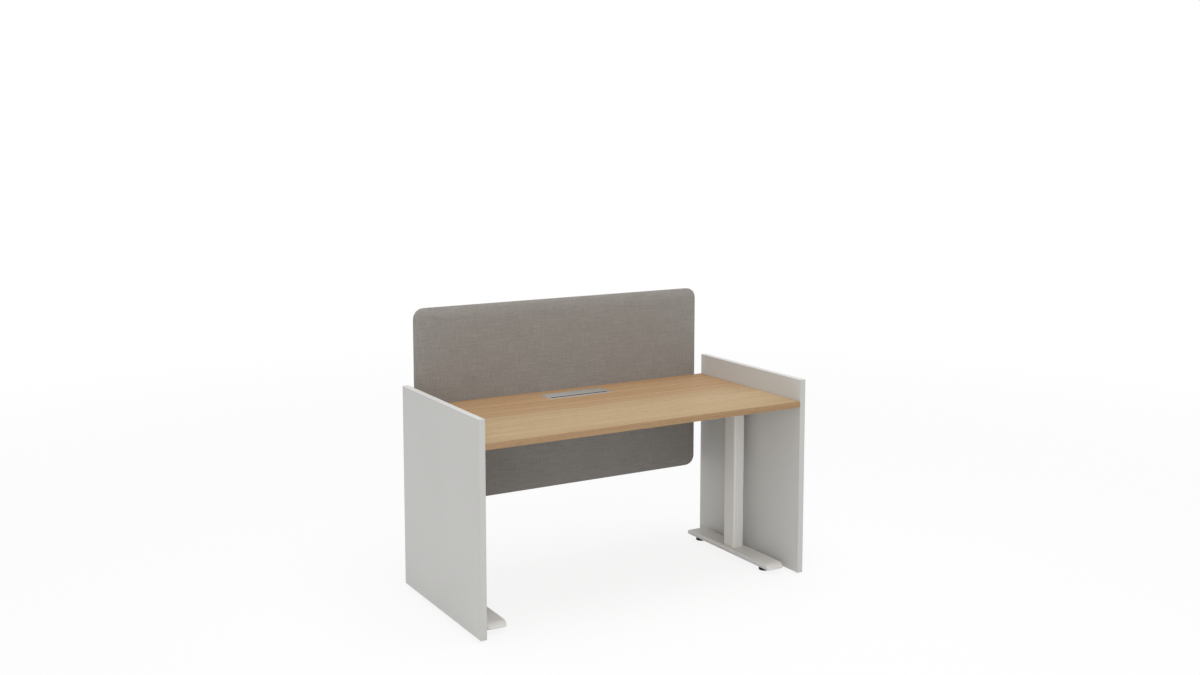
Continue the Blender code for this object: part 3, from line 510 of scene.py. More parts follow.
def silver_finish():
    """Fine satin lines along the flap, with a sparkle of flakes."""
    tree, shader = new_finish("silver_lacquer", 0.42, 0.20)
    place = piece_place(tree)
    satin = noise(tree, place, (9.0, 1800.0, 1800.0), 2.0)
    flake = span(tree, noise(tree, place, 2600.0, 1.0), 0.94, 1.05)
    coat(tree, shader, tint(tree, ramp(tree, satin, *SILVER_TONES), flake), span(tree, satin, 0.36, 0.48))
    relief(tree, shader, satin, 0.06, 0.0001)


def zinc_finish():
    """Cloudy crystals that differ a little in tint and gloss."""
    tree, shader = new_finish("zinc_plated_steel", 0.35, 1.0)
    crystals = noise(tree, piece_place(tree), 150.0, 4.0, 0.6)
    coat(tree, shader, ramp(tree, crystals, *ZINC_TONES), span(tree, crystals, 0.44, 0.26))
    relief(tree, shader, crystals, 0.08, 0.0001)


silver_finish()
zinc_finish()
print("metal finishes", list(finishes)[-2:])

# %% [markdown]
# ## Plastics, motor paint, boards
# Moulded plastic takes the spark-eroded grain of its tool: a fine pebble that softens highlights. One
# function makes all of them, and the motor's crackle paint too. The circuit board and the raw chipboard
# are inside closed housings, but they get their own patterns all the same: a net of tracks and a field of
# pressed chips.

# %% Moulded and inner finishes
def moulded_finish(name, colour, roughness, grain, metallic=0.0, shine=0.5):
    """A coloured plastic or paint with a pebbled skin of grain features to the metre."""
    tree, shader = new_finish(name, roughness, metallic, Specular_IOR_Level=shine)
    place = piece_place(tree)
    pebbles = noise(tree, place, grain, 2.0, 0.6)
    clouds = span(tree, noise(tree, place, 24.0, 2.0), 0.95, 1.05)
    dark, light = (tuple(part * level for part in colour) for level in (0.86, 1.14))
    shaded = ramp(tree, pebbles, (0.30, dark), (0.70, light))
    gloss = span(tree, pebbles, roughness + 0.06, roughness - 0.06)
    coat(tree, shader, tint(tree, shaded, clouds), gloss)
    relief(tree, shader, pebbles, 0.22, 0.00015)


def chip_finish(name, scale, stops, roughness):
    """A field of small cells, each with a tone of its own."""
    tree, shader = new_finish(name, roughness)
    cells = add(tree, "TexVoronoi", {"Vector": piece_place(tree), "Scale": scale})
    tone = add(tree, "SeparateXYZ", {0: cells.outputs["Color"]}).outputs
    coat(tree, shader, ramp(tree, tone[0], *stops))
    relief(tree, shader, tone[1], 0.2, 0.0003)


moulded_finish("black_plastic", (0.014, 0.014, 0.015), 0.50, 900.0)
moulded_finish("black_bristle", (0.010, 0.010, 0.011), 0.90, 900.0, shine=0.04)
moulded_finish("dark_grey_plastic", (0.070, 0.071, 0.075), 0.52, 1100.0)
moulded_finish("white_plastic", (0.690, 0.680, 0.645), 0.44, 1400.0)
moulded_finish("motor_grey", (0.120, 0.121, 0.128), 0.42, 500.0, 0.5)
chip_finish("core_board", 260.0, ((0.0, (0.36, 0.26, 0.16)), (1.0, (0.56, 0.43, 0.28))), 0.85)
chip_finish("circuit_board", 420.0, ((0.0, (0.016, 0.105, 0.045)), (1.0, (0.040, 0.200, 0.085))), 0.45)
print(len(finishes), "finishes")

# %% [markdown]
# ## Finishes on the plain solids
# The record names a finish for each solid, so one loop dresses everything that keeps its plain shape.

# %% Dress the solids
for node_name, solid in frame["nodes"].items():
    solid.data.materials.clear()
    solid.data.materials.append(finishes[slot_of[node_name]])
print("dressed", len(frame["nodes"]), "solids")

# %% [markdown]
# ## Surfaces from rings
# Most pieces of a desk are an outline carried along something: a tube is a rounded rectangle carried
# upwards, an edging is a small section carried along a board. Such a surface is a stack of rings with the
# same number of points, and its faces are a grid. The outline below has one formula for all: corner
# centre plus radius times (cos, sin) over each quarter turn.

# %% Ring helpers
def outline(width, depth, radius, steps=8):
    """A rounded rectangle about the origin, anticlockwise; radius may be one value for each corner."""
    quarter = np.repeat(np.arange(4), steps + 1)
    angle = (quarter + np.tile(np.linspace(0, 1, steps + 1), 4)) * math.pi / 2
    bend = np.broadcast_to(radius, 4)[quarter]
    side_x = np.array([1, -1, -1, 1])[quarter]
    side_y = np.array([1, 1, -1, -1])[quarter]
    across = side_x * (width / 2 - bend) + bend * np.cos(angle)
    along = side_y * (depth / 2 - bend) + bend * np.sin(angle)
    return np.stack([across, along], -1)


def turned(radii, heights, steps=32):
    """A profile turned about the upright axis: (r cos a, r sin a, z) for each angle a."""
    angle = np.linspace(0, 2 * math.pi, steps, endpoint=False)
    radii = np.asarray(radii)[:, None] + 0 * angle
    heights = np.asarray(heights)[:, None] + 0 * angle
    return np.stack([radii * np.cos(angle), radii * np.sin(angle), heights], -1)


def edge_profile(low, high, radius, steps=4):
    """(inset, height) up the side of a slab: a quarter circle, the straight side and a quarter circle."""
    angle = np.linspace(0, math.pi / 2, steps + 1)
    lower = np.stack([radius * (1 - np.sin(angle)), low + radius * (1 - np.cos(angle))], -1)
    upper = np.stack([lower[::-1, 0], low + high - lower[::-1, 1]], -1)
    return np.concatenate([lower, upper])


def drawn_in(width, depth, radius, profile, steps=8):
    """Rings of one outline, each drawn in by the profile's inset and lifted to its height."""
    rings = [outline(width - 2 * inset, depth - 2 * inset, radius - inset, steps) for inset, _ in profile]
    heights = np.broadcast_to(np.asarray(profile)[:, 1, None, None], (len(profile), len(rings[0]), 1))
    return np.concatenate([np.array(rings), heights], -1)


print("a column outline has", len(outline(0.052, 0.075, 0.008)), "points")

# %% [markdown]
# ## Faces and pieces
# Rings become a mesh by joining neighbouring points into quads and closing the two ends. The faces have
# to point outwards, so the volume under all triangles is summed, and a mesh that comes out negative is
# turned round. Every piece then gets its finish and the body that it rides on, and the solid that it
# stands for is hidden.

# %% Face and piece helpers
def grid_faces(rows, columns, wrap_rows=False, wrap_columns=True):
    """Quads between neighbouring points of a grid; point (r, c) is number r * columns + c."""
    row_starts = np.arange(rows - (not wrap_rows))
    column_starts = np.arange(columns - (not wrap_columns))
    row, column = np.meshgrid(row_starts, column_starts, indexing="ij")
    next_row = (row + 1) % rows
    next_column = (column + 1) % columns
    corners = [row * columns + column, row * columns + next_column]
    corners += [next_row * columns + next_column, next_row * columns + column]
    return np.stack(corners, -1).reshape(-1, 4).tolist()


def ring_faces(rings, closed=False):
    """Faces of a stack of rings: a closed loop of rings, or a stack with a flat cap at each end."""
    count, points = rings.shape[:2]
    faces = grid_faces(count, points, wrap_rows=closed)
    if not closed:
        faces += [list(range(points))[::-1], list(range((count - 1) * points, count * points))]
    return faces


def repeated(stack, places):
    """One capped stack of rings set on many places: the points, and faces numbered from copy to copy."""
    count, points = stack.shape[:2]
    copies = stack + np.asarray(places, float)[:, None, None]
    starts = np.arange(len(copies))[:, None, None] * count * points
    ring = np.arange(points)
    caps = np.stack([ring[::-1], ring + (count - 1) * points])
    faces = (np.array(grid_faces(count, points)) + starts).reshape(-1, 4).tolist()
    return copies, faces + (caps + starts).reshape(-1, points).tolist()


def set_piece(name, mesh, node=None, slot=None, body="top", finish=None):
    """Puts a mesh into the scene with its finish or the slot's, on the body of the solid it stands for or
    its own, and hides that solid.
    """
    slot = slot or slot_of[node]
    mesh.materials.clear()
    mesh.materials.append(finishes[finish or slot])
    piece = place_object(name, mesh)
    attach(piece, body_of[node] if node else body)
    if node:
        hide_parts(node)
    return piece


def add_piece(name, points, faces=None, closed=False, sharp=35.0, **role):
    """A piece from rings, or points and faces: turned outwards, smooth up to a sharp angle in degrees."""
    places = np.reshape(points, (-1, 3))
    mesh = bpy.data.meshes.new(name)
    mesh.from_pydata(places.tolist(), [], faces or ring_faces(points, closed))
    mesh.calc_loop_triangles()
    corners = np.zeros(len(mesh.loop_triangles) * 3, int)
    mesh.loop_triangles.foreach_get("vertices", corners)
    first, second, third = (places[corners[start::3]] for start in range(3))
    if np.einsum("ij,ij->", first, np.cross(second, third)) < 0:
        mesh.flip_normals()
    mesh.shade_smooth()
    mesh.set_sharp_from_angle(angle=math.radians(sharp))
    return set_piece(name, mesh, **role)


def box_of(node_name):
    """Middle, size, low and high corner of a solid, as arrays."""
    low, high = (np.array(corner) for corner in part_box(node_name))
    return (low + high) / 2, high - low, low, high


print("a capped stack of 2 rings has", len(ring_faces(np.zeros((2, 4, 3)))), "faces")

# %% [markdown]
# ## Edged boards
# A laminated board is raw at its cut edges, so a 2 mm strip is glued round them and its outer corners are
# rounded with a cutter. The strip and the sheet meet in a hairline that tells a real board from a block.
# Each board here is a slab with barely broken edges, and each strip is a small section carried along one
# side of it.

# %% Edging helpers
EDGING = 0.002
EDGING_ROUND = 0.0011
HAIRLINE = 0.00015
AXES = np.eye(3)


def edging(name, middle, length, along, outward, thickness, **role):
    """A strip's section, rounded on its two outer corners, carried along a straight edge of a board."""
    upward = np.cross(outward, along)
    section = outline(EDGING, thickness, (EDGING_ROUND, HAIRLINE, HAIRLINE, EDGING_ROUND), 5)
    stations = np.array([-0.5, 0.5]) * length
    rings = middle + stations[:, None, None] * along
    rings = rings + section[None, :, :1] * outward + section[None, :, 1:] * upward
    add_piece(name, rings, **role)


def edge_board(node_name, thin, long, words, long_finish, short_finish=None):
    """Strips round a board: two of full length along one axis, and two that fit between them."""
    middle, size, _, _ = box_of(node_name)
    role = {"slot": slot_of[node_name], "body": body_of[node_name]}
    short = 3 - thin - long
    runs = [(long, short, size[long], long_finish), (short, long, size[short] - 2 * EDGING, short_finish)]
    for (along, facing, length, finish), pair in zip(runs, words):
        for word, side in zip(pair, (-1, 1)):
            place = middle + side * (size[facing] - EDGING) / 2 * AXES[facing]
            name = f"{node_name}_edging_{word}"
            ways = (AXES[along], side * AXES[facing])
            edging(name, place, length, *ways, size[thin], finish=finish, **role)


print("edging", EDGING * 1000, "mm thick")

# %% [markdown]
# ## Desk top
# The top has a rectangular opening for the cable flap, so it is not a plain slab: its upper sheet runs
# from the board's outline to the opening's outline. Six rectangles lofted in a closed loop make sheet,
# sides and opening.

# %% Desk top with its edging
FLAP_ROOM = 0.0003
_, top_size, top_low, top_high = box_of("desktop")
_, _, flap_low, flap_high = box_of("flap_frame")


def rectangle_ring(low, high, height, inset=0.0, per_side=6):
    """Points round a level rectangle, anticlockwise from its low corner, the same number to each side."""
    rise, full = np.arange(per_side) / per_side, np.ones(per_side)
    x = np.concatenate([rise, full, 1 - rise, 0 * full])
    y = np.concatenate([0 * full, rise, full, 1 - rise])
    start = low[:2] + inset
    reach = high[:2] - inset - start
    return np.stack([start[0] + reach[0] * x, start[1] + reach[1] * y, 0 * x + height], -1)


def desk_top():
    """The board's outline from its upper sheet down to its lower one, and back up through the opening."""
    board = (top_low + EDGING, top_high - EDGING)
    hole = (flap_low - FLAP_ROOM, flap_high + FLAP_ROOM)
    floor, sheet = top_low[2], top_high[2]
    rings = np.array([
        rectangle_ring(*board, sheet, HAIRLINE), rectangle_ring(*board, sheet - HAIRLINE),
        rectangle_ring(*board, floor + HAIRLINE), rectangle_ring(*board, floor, HAIRLINE),
        rectangle_ring(*hole, floor), rectangle_ring(*hole, sheet),
    ])
    add_piece("desktop_board", rings, closed=True, node="desktop")
    # The strips take the darker oak, painted shade on the upright edges.
    edge_board("desktop", 2, 0, (("front", "rear"), ("left", "right")), "oak_edging_painted_shade", "oak_edging_painted_shade")


desk_top()
print("desk top", rounded(top_size))

# %% [markdown]
# ## Side panels
# The two panels are plain edged boards, standing on edge. The slab's outline lies in the upright plane
# and its thickness runs along X, so the rings are made flat and their columns are then put in the order
# x, y, z.

# %% Side panels with their edging
ALONG_ORDER = [2, 0, 1]
SLAB_CORNER = 0.0005


def side_panel(node_name):
    """The slab's outline, drawn in by a hairline at both faces, with its strips."""
    middle, size, _, _ = box_of(node_name)
    profile = edge_profile(-size[0] / 2, size[0] / 2, HAIRLINE, 1)
    rings = drawn_in(size[1] - 2 * EDGING, size[2] - 2 * EDGING, SLAB_CORNER, profile, 2)
    rings = rings[..., ALONG_ORDER] + middle
    add_piece(f"{node_name}_board", rings, node=node_name)
    # The strips take the darker grey, painted shade on the panel edges.
    edge_board(node_name, 0, 2, (("front", "rear"), ("bottom", "top")), "light_grey_edging_painted_shade")
    return size


for side in ("left", "right"):
    print("panel", side, rounded(side_panel(f"side_panel_{side}")))

# %% [markdown]
# ## Upholstered screen
# Two padded covers meet in a seam round the edge. Each face is flat over its board and falls off in a
# soft crown towards the seam. The cover is one grid over the whole face: the grid's square corners are
# bent into round ones by (a sqrt(1 - b^2/2), b sqrt(1 - a^2/2)), which takes a square to a quarter disc
# without a crease, and the depth of each point is a soft arch of its distance to the edge.

# %% Screen shape
CROWN = 0.008
CROWN_WIDTH = 0.036
SCREEN_CORNER = 0.045
SWELL = 0.0012
TINY = 1e-9
front_middle, front_size, front_low, _ = box_of("screen_front_pad")
_, _, _, rear_high = box_of("screen_rear_pad")
screen_half = front_size[[0, 2]] / 2
screen_centre = np.array([front_middle[0], (front_low[1] + rear_high[1]) / 2, front_middle[2]])
screen_depth = (rear_high[1] - front_low[1]) / 2 - SWELL


def rim_steps(half, rim_points=7, spacing=0.020):
    """Places from -half to half: rim * (1 - cos a) close to both ends and even steps between."""
    rim = CROWN_WIDTH * (1 - np.cos(np.linspace(0, math.pi / 2, rim_points)))
    inner = np.linspace(-half + CROWN_WIDTH, half - CROWN_WIDTH, int(2 * half / spacing))
    return np.concatenate([-half + rim[:-1], inner, (half - rim[:-1])[::-1]])


def round_corners(flat):
    """Bends the square corners of a sheet into quarter discs of the screen's corner radius."""
    inner = screen_half - SCREEN_CORNER
    past = np.maximum(np.abs(flat) - inner, 0) / SCREEN_CORNER
    bent = past * np.sqrt(1 - past[..., ::-1] ** 2 / 2)
    return np.where(past > 0, np.sign(flat) * (inner + bent * SCREEN_CORNER), flat)


def to_edge(place):
    """Distance to the screen's outline, and the outward direction there."""
    past = np.abs(place) - (screen_half - SCREEN_CORNER)
    beyond = np.maximum(past, 0)
    reach = np.linalg.norm(beyond, axis=-1)
    inside = np.minimum(past.max(-1), 0)
    outward = np.sign(place) * beyond / np.maximum(reach, TINY)[..., None]
    return SCREEN_CORNER - reach - inside, outward


def crown_depth(distance):
    """A soft arch from the seam's depth to the full depth: s + c (1 - (1 - d/w)^2)^0.7."""
    share = 1 - np.clip(distance / CROWN_WIDTH, 0, 1)
    return screen_depth - CROWN + CROWN * (1 - share**2) ** 0.7


def cloth_length(distance):
    """How much longer the cloth is than its shadow on the board, from the flat face out to a point."""
    walk = np.linspace(CROWN_WIDTH, 0, 400)
    steps = np.hypot(np.diff(walk), np.diff(crown_depth(walk))) + np.diff(walk)
    extra = np.concatenate([[0], np.cumsum(steps)])
    return np.interp(distance, walk[::-1], extra[::-1])


print("screen", rounded(2 * screen_half), "m, and before the foam", rounded(2 * screen_depth), "m deep")

# %% [markdown]
# ## Foam under the cloth
# That sheet starts a little too thin. A short cloth simulation lets the foam push it out while the seam
# holds it, and no point moves further than the foam gives, so the face stays as flat as a cover drawn
# over a board.

# %% Sheet pushed out by the foam
SEAM_ROUND = 0.0012
FOAM_PRESSURE = 4.0
FOAM_STEPS = 20


def pushed_out(sheet, held):
    """The sheet after foam has pushed at it along +Y: a cloth simulation, with each move cut to SWELL."""
    rows, columns = sheet.shape[:2]
    mesh = bpy.data.meshes.new("sheet_trial")
    mesh.from_pydata(sheet.reshape(-1, 3).tolist(), [], grid_faces(rows, columns, wrap_columns=False))
    trial = place_object("sheet_trial", mesh)
    seam = trial.vertex_groups.new(name="seam")
    seam.add(np.flatnonzero(held).tolist(), 1.0, "REPLACE")
    foam = trial.modifiers.new("foam", "CLOTH")
    foam.settings.vertex_group_mass = seam.name
    foam.settings.use_pressure = True
    foam.settings.uniform_pressure_force = FOAM_PRESSURE
    foam.settings.effector_weights.gravity = 0.0
    foam.point_cache.frame_end = FOAM_STEPS
    for step in range(1, FOAM_STEPS + 1):
        bpy.context.scene.frame_set(step)
    moved = np.zeros(sheet.size, np.float32)
    result = trial.evaluated_get(bpy.context.evaluated_depsgraph_get())
    result.data.vertices.foreach_get("co", moved)
    bpy.data.objects.remove(trial)
    bpy.data.meshes.remove(mesh)
    bpy.context.scene.frame_set(1)
    move = moved.reshape(sheet.shape) - sheet
    reach = np.linalg.norm(move, axis=-1, keepdims=True)
    usual = np.percentile(reach, [10, 50, 90]) * 1000
    print("foam would move the cloth", np.round(usual, 2).tolist(), "mm")
    return sheet + move * np.minimum(1, SWELL / np.maximum(reach, TINY))


def screen_sheet():
    """The pushed-out face of a cover, facing +Y, its outward directions and its cloth places."""
    across, up = np.meshgrid(rim_steps(screen_half[0]), rim_steps(screen_half[1]), indexing="ij")
    face = round_corners(np.stack([across, up], -1))
    distance, outward = to_edge(face)
    distance = np.maximum(distance, 0)
    sheet = np.stack([face[..., 0], crown_depth(distance), face[..., 1]], -1)
    cloth = face + outward * cloth_length(distance)[..., None]
    return pushed_out(sheet, distance < SEAM_ROUND), outward, cloth


pushed_sheet = screen_sheet()
print("sheet of", pushed_sheet[0].shape[:2], "points")

# %% [markdown]
# ## Closed covers
# Both covers take the same sheet, one turned to the front and one to the rear. A seam turns a quarter
# circle inwards from the sheet's border, a flat back closes it, and one subdivision smooths the whole.
# The map for the weave is made here too: it is the place along the cloth, so that yarns aren't stretched
# over the rim.

# %% Screen covers
SEAM_GAP = 0.0003
SEAM_STEPS = 4


def screen_cover(word, facing, sheet, outward, cloth):
    """A closed cover: the sheet, a seam that turns a quarter circle inwards, and a flat back."""
    rows, columns = sheet.shape[:2]
    number = np.arange(rows * columns).reshape(rows, columns)
    border = np.concatenate([number[:-1, 0], number[-1, :-1], number[:0:-1, -1], number[0, :0:-1]])
    flat_out, flat_cloth = outward.reshape(-1, 2), cloth.reshape(-1, 2)
    flat_face = sheet[..., [0, 2]].reshape(-1, 2)
    angle = np.linspace(0, math.pi / 2, SEAM_STEPS)
    tuck = SEAM_ROUND * (1 - np.cos(angle))[:, None, None]
    level = SEAM_GAP / 2 + SEAM_ROUND * (1 - np.sin(angle))
    seam = flat_face[border] - flat_out[border] * tuck
    seam_cloth = flat_cloth[border] + flat_out[border] * (screen_depth - CROWN - level)[:, None, None]
    back = flat_face * (1 - SEAM_ROUND / screen_half)
    back[border] = seam[-1]

    seam_number = rows * columns + np.arange(seam[:-1].size // 2).reshape(len(seam) - 1, -1)
    back_number = rows * columns + seam_number.size + number
    places = np.concatenate([flat_face, seam[:-1].reshape(-1, 2), back])
    seam_depths = np.repeat(level[:-1], len(border))
    depths = np.concatenate([sheet[..., 1].ravel(), seam_depths, np.full(len(back), level[-1])])
    points = np.stack([places[:, 0], facing * depths, places[:, 1]], -1) + screen_centre
    strips = np.concatenate([border[None], seam_number, back_number.ravel()[border][None]])
    ahead = np.roll(strips, -1, axis=1)
    quads = np.stack([strips[:-1], ahead[:-1], ahead[1:], strips[1:]], -1).reshape(-1, 4)
    front_faces = np.array(grid_faces(rows, columns, wrap_columns=False))
    back_faces = front_faces[:, ::-1] + back_number[0, 0]
    faces = np.concatenate([front_faces, quads, back_faces]).tolist()
    piece = add_piece(f"screen_{word}_cover", points, faces, sharp=60.0, node=f"screen_{word}_pad")

    lie = np.concatenate([flat_cloth, seam_cloth[:-1].reshape(-1, 2), flat_cloth])
    corners = np.zeros(len(piece.data.loops), int)
    piece.data.loops.foreach_get("vertex_index", corners)
    layer = piece.data.uv_layers.new(name="cloth")
    layer.data.foreach_set("uv", lie[corners].astype(np.float32).ravel())
    smooth = piece.modifiers.new("smooth_cloth", "SUBSURF")
    smooth.levels = smooth.render_levels = 1
    return len(points)


for word, facing in (("front", -1), ("rear", 1)):
    print("screen", word, "cover has", screen_cover(word, facing, *pushed_sheet), "points")

# %% [markdown]
# ## Pressed feet
# Each foot is pressed from sheet: a long flat top that slopes down at both ends, with sides turned down
# and a soft edge between. The rings are the foot's plan outline drawn in step by step, and each point is
# lifted to the height of the top at its place along the foot, so one stack of rings gives sides, rounded
# edge and sloped ends. The inside is open below, so the skin gets its thickness from a Solidify modifier
# and a boss for each leveller.

# %% Feet
FOOT_SLOPE = 0.020
FOOT_LIP = 0.008
FOOT_CORNER = 0.012
FOOT_EDGE = 0.0035
FOOT_BEND = 0.0035
FOOT_SHEET = 0.003
FOOT_STEPS = 96
FOOT_FLAT_INSETS = [0.006, 0.009, 0.0115]


def long_outline(width, length, radius, steps=8):
    """A rounded rectangle with its long sides cut into even steps, the same on both."""
    ends = outline(width, length, radius, steps).reshape(4, steps + 1, 2)
    walk = np.linspace(0, 1, FOOT_STEPS + 1)[1:-1, None]
    left = ends[1, -1] + (ends[2, 0] - ends[1, -1]) * walk
    right = ends[3, -1] + (ends[0, 0] - ends[3, -1]) * walk
    return np.concatenate([ends[0], ends[1], left, ends[2], ends[3], right])


def foot_skin(node_name):
    """Plan outlines drawn in from the floor edge, over a rounded edge, to the middle of the top."""
    middle, size, low, high = box_of(node_name)
    fall_rate = (size[2] - FOOT_LIP) / FOOT_SLOPE

    def top_height(along):
        """Flat, then an even slope; the bend between is b ln(1 + exp(past / b))."""
        past = np.abs(along) - (size[1] / 2 - FOOT_SLOPE)
        return high[2] - fall_rate * FOOT_BEND * np.logaddexp(0, past / FOOT_BEND)

    turn = np.linspace(0, math.pi / 2, 6)
    insets = np.concatenate([[0], FOOT_EDGE * (1 - np.cos(turn)), FOOT_FLAT_INSETS])
    falls = np.concatenate([FOOT_EDGE * (1 - np.sin(turn)), np.zeros(len(FOOT_FLAT_INSETS))])
    plans = np.array([long_outline(*(size[:2] - 2 * inset), FOOT_CORNER - inset) for inset in insets])
    heights = np.full(plans.shape[:2], low[2])
    heights[1:] = top_height(plans[1:, :, 1]) - falls[:, None]
    rings = np.concatenate([plans, heights[..., None]], -1) + (middle[0], middle[1], 0)

    count, points = rings.shape[:2]
    half = points // 2
    start = (half - FOOT_STEPS + 1) // 2
    order = np.roll((count - 1) * points + np.arange(points), -start)
    pairs = np.stack([order[:half], order[half:][::-1]], -1)
    middle_faces = np.stack([pairs[:-1, 0], pairs[1:, 0], pairs[1:, 1], pairs[:-1, 1]], -1)
    faces = grid_faces(count, points) + middle_faces.tolist()
    piece = add_piece(f"{node_name}_skin", rings, faces, sharp=50.0, node=node_name)
    sheet = piece.modifiers.new("sheet", "SOLIDIFY")
    sheet.thickness = FOOT_SHEET
    sheet.offset = -1.0
    return high[2], low[2]


for side in ("left", "right"):
    print("foot", side, "from", rounded(foot_skin(f"foot_{side}")))

# %% [markdown]
# ## Levellers
# A glide is moulded onto a threaded stem and turned by hand, so its rim has shallow flutes for the
# fingers. The whole thing is one turned profile, (r cos a, r sin a, z). The flutes take a little off the
# radius with the angle, and the thread takes a little off with the angle and the height together, which
# is what makes a helix. A boss in the foot carries each stem, so that the glide has something to screw
# into.

# %% Levellers and bosses
THREAD_PITCH = 0.00125
THREAD_DEPTH = 0.00055
THREAD_STEPS = 6
THREAD_FROM, THREAD_TO = 0.0008, 0.0014
STEM_RADIUS = 0.004
STEM_CHAMFER = 0.001
STEM_END = ((0.0034, -0.0006), (0.003, 0.0))
STEM_BAND, RIM_BAND, SOLE_BAND = 0.0005, 0.0006, 0.0004
FLUTES = 14
FLUTE_DEPTH = 0.0008
GLIDE_STEPS = 56
GLIDE_INSETS = np.array([6.4, 5.6, 1.5, 0.45, 0, 0, 0.5, 1.7, 9.9, 10.8, 11.6]) / 1000
GLIDE_HEIGHTS = np.array([0.8, 0.0, 0.0, 0.45, 1.5, 5.4, 6.5, 7.4, 18.9, 20.9, 22.4])
GLIDE_ROOM = 0.0006
BOSS_RADIUS = 0.014
BORE_RADIUS = 0.0044
BOSS_SUNK = 0.0003
BOSS_LIFT, BOSS_BREAK, BORE_BREAK = 0.0002, 0.0008, 0.0006


def glide_profile(radius, shoulder, stem_top):
    """Radii and heights from the middle of the sole, up the rim and the cone, and along the stem."""
    stem = np.arange(shoulder, stem_top - STEM_CHAMFER, THREAD_PITCH / THREAD_STEPS)
    end_radii, end_heights = np.transpose(STEM_END)
    radii = np.concatenate([radius - GLIDE_INSETS, np.full(len(stem), STEM_RADIUS), end_radii])
    cone = GLIDE_HEIGHTS * (shoulder / GLIDE_HEIGHTS[-1])
    return radii, np.concatenate([cone, stem, stem_top + end_heights])


def leveller(side, end):
    """A glide and the boss in the foot above it.

    The rim's radius is less by d max(cos(n a), 0)^2 and the stem's by a zigzag of height / pitch - turn.
    """
    node_name = f"leveller_{side}_{end}"
    middle, size, _, high = box_of(node_name)
    _, _, foot_low, foot_high = box_of(f"foot_{side}")
    shoulder = foot_low[2] - GLIDE_ROOM
    radii, heights = glide_profile(size[0] / 2, shoulder, high[2])
    rings = turned(radii, heights, GLIDE_STEPS)
    angle = np.arange(GLIDE_STEPS) / GLIDE_STEPS
    flute = FLUTE_DEPTH * np.maximum(np.cos(2 * math.pi * FLUTES * angle), 0) ** 2
    on_rim = (radii > size[0] / 2 - RIM_BAND) & (heights > SOLE_BAND)
    wind = np.abs(((heights[:, None] / THREAD_PITCH - angle) % 1) - 0.5) * 2
    in_thread = (heights > shoulder + THREAD_FROM) & (heights < high[2] - THREAD_TO)
    on_stem = in_thread & (radii < STEM_RADIUS + STEM_BAND)
    less = on_rim[:, None] * flute + on_stem[:, None] * THREAD_DEPTH * wind
    rings[..., :2] *= (1 - less / radii[:, None])[..., None]
    rings += (middle[0], middle[1], 0)
    add_piece(f"glide_{side}_{end}", rings, sharp=50.0, node=node_name)

    base, roof = foot_low[2] + BOSS_LIFT, foot_high[2] - FOOT_SHEET + BOSS_SUNK
    boss = turned(*np.transpose([
        (BOSS_RADIUS - BOSS_BREAK, base), (BOSS_RADIUS, base + BOSS_BREAK), (BOSS_RADIUS, roof),
        (BORE_RADIUS, roof), (BORE_RADIUS, base + BORE_BREAK), (BORE_RADIUS + BORE_BREAK, base),
    ]))
    boss += (middle[0], middle[1], 0)
    add_piece(f"leveller_boss_{side}_{end}", boss, closed=True, slot="light_grey_paint", body="base")
    return middle[:2]


for side in ("left", "right"):
    for end in ("front", "rear"):
        print("leveller", side, end, rounded(leveller(side, end)))

# %% [markdown]
# ## Lifting columns
# A column is two welded tubes of rounded rectangular section, one sliding in the other, with a plastic
# collar at the mouth. A plain solid shows the corner radius as a few flats, and the light running down
# that corner is most of what the eye sees of a column, so the tubes are made again with a fine corner and
# a softened rim.

# %% Columns
OUTER_CORNER, OUTER_WALL = 0.008, 0.0018
INNER_CORNER, INNER_WALL = 0.006, 0.002
RIM_SOFT, RIM_MID = 0.0004, 0.00012
COLLAR_FLANGE = 0.002
COLLAR_CLEARANCE = 0.0003
COLLAR_BREAK, COLLAR_MID, COLLAR_SOFT = 0.0003, 0.0002, 0.0007
CORNER_STEPS = 12


def column_loop(node_name, new_name, corner, profile):
    """The section's outline carried along a closed profile of (inset, height)."""
    middle, size, _, _ = box_of(node_name)
    rings = drawn_in(size[0], size[1], corner, profile, CORNER_STEPS) + (middle[0], middle[1], 0)
    add_piece(new_name, rings, closed=True, sharp=40.0, node=node_name)
    return size


def column_tube(node_name, corner, wall):
    """Up outside, over the rim, down inside and back under the foot."""
    (_, _, low), (_, _, high) = box_of(node_name)[2:]
    profile = [
        (0, low + RIM_SOFT), (0, high - RIM_SOFT), (RIM_MID, high - RIM_MID), (RIM_SOFT, high),
        (wall, high), (wall, low), (RIM_SOFT, low),
    ]
    column_loop(node_name, f"{node_name}_steel", corner, profile)


def guide_collar(side):
    """Up the spigot, out under the flange, over its soft edge and down the bore."""
    node_name = f"guide_collar_{side}"
    _, size, (_, _, low), (_, _, high) = box_of(node_name)
    tube = box_of(f"inner_tube_{side}")[1]
    bore = (size[0] - tube[0]) / 2 - COLLAR_CLEARANCE
    spigot = OUTER_WALL + COLLAR_CLEARANCE
    seat = high - COLLAR_FLANGE
    profile = [
        (spigot, low), (spigot, seat), (COLLAR_BREAK, seat), (0, seat + COLLAR_BREAK),
        (0, high - COLLAR_SOFT), (COLLAR_MID, high - COLLAR_MID), (COLLAR_SOFT, high),
        (bore, high), (bore, low),
    ]
    return column_loop(node_name, f"column_collar_{side}", OUTER_CORNER, profile)


for side in ("left", "right"):
    column_tube(f"outer_tube_{side}", OUTER_CORNER, OUTER_WALL)
    column_tube(f"inner_tube_{side}", INNER_CORNER, INNER_WALL)
    print("column", side, "collar", rounded(guide_collar(side)))

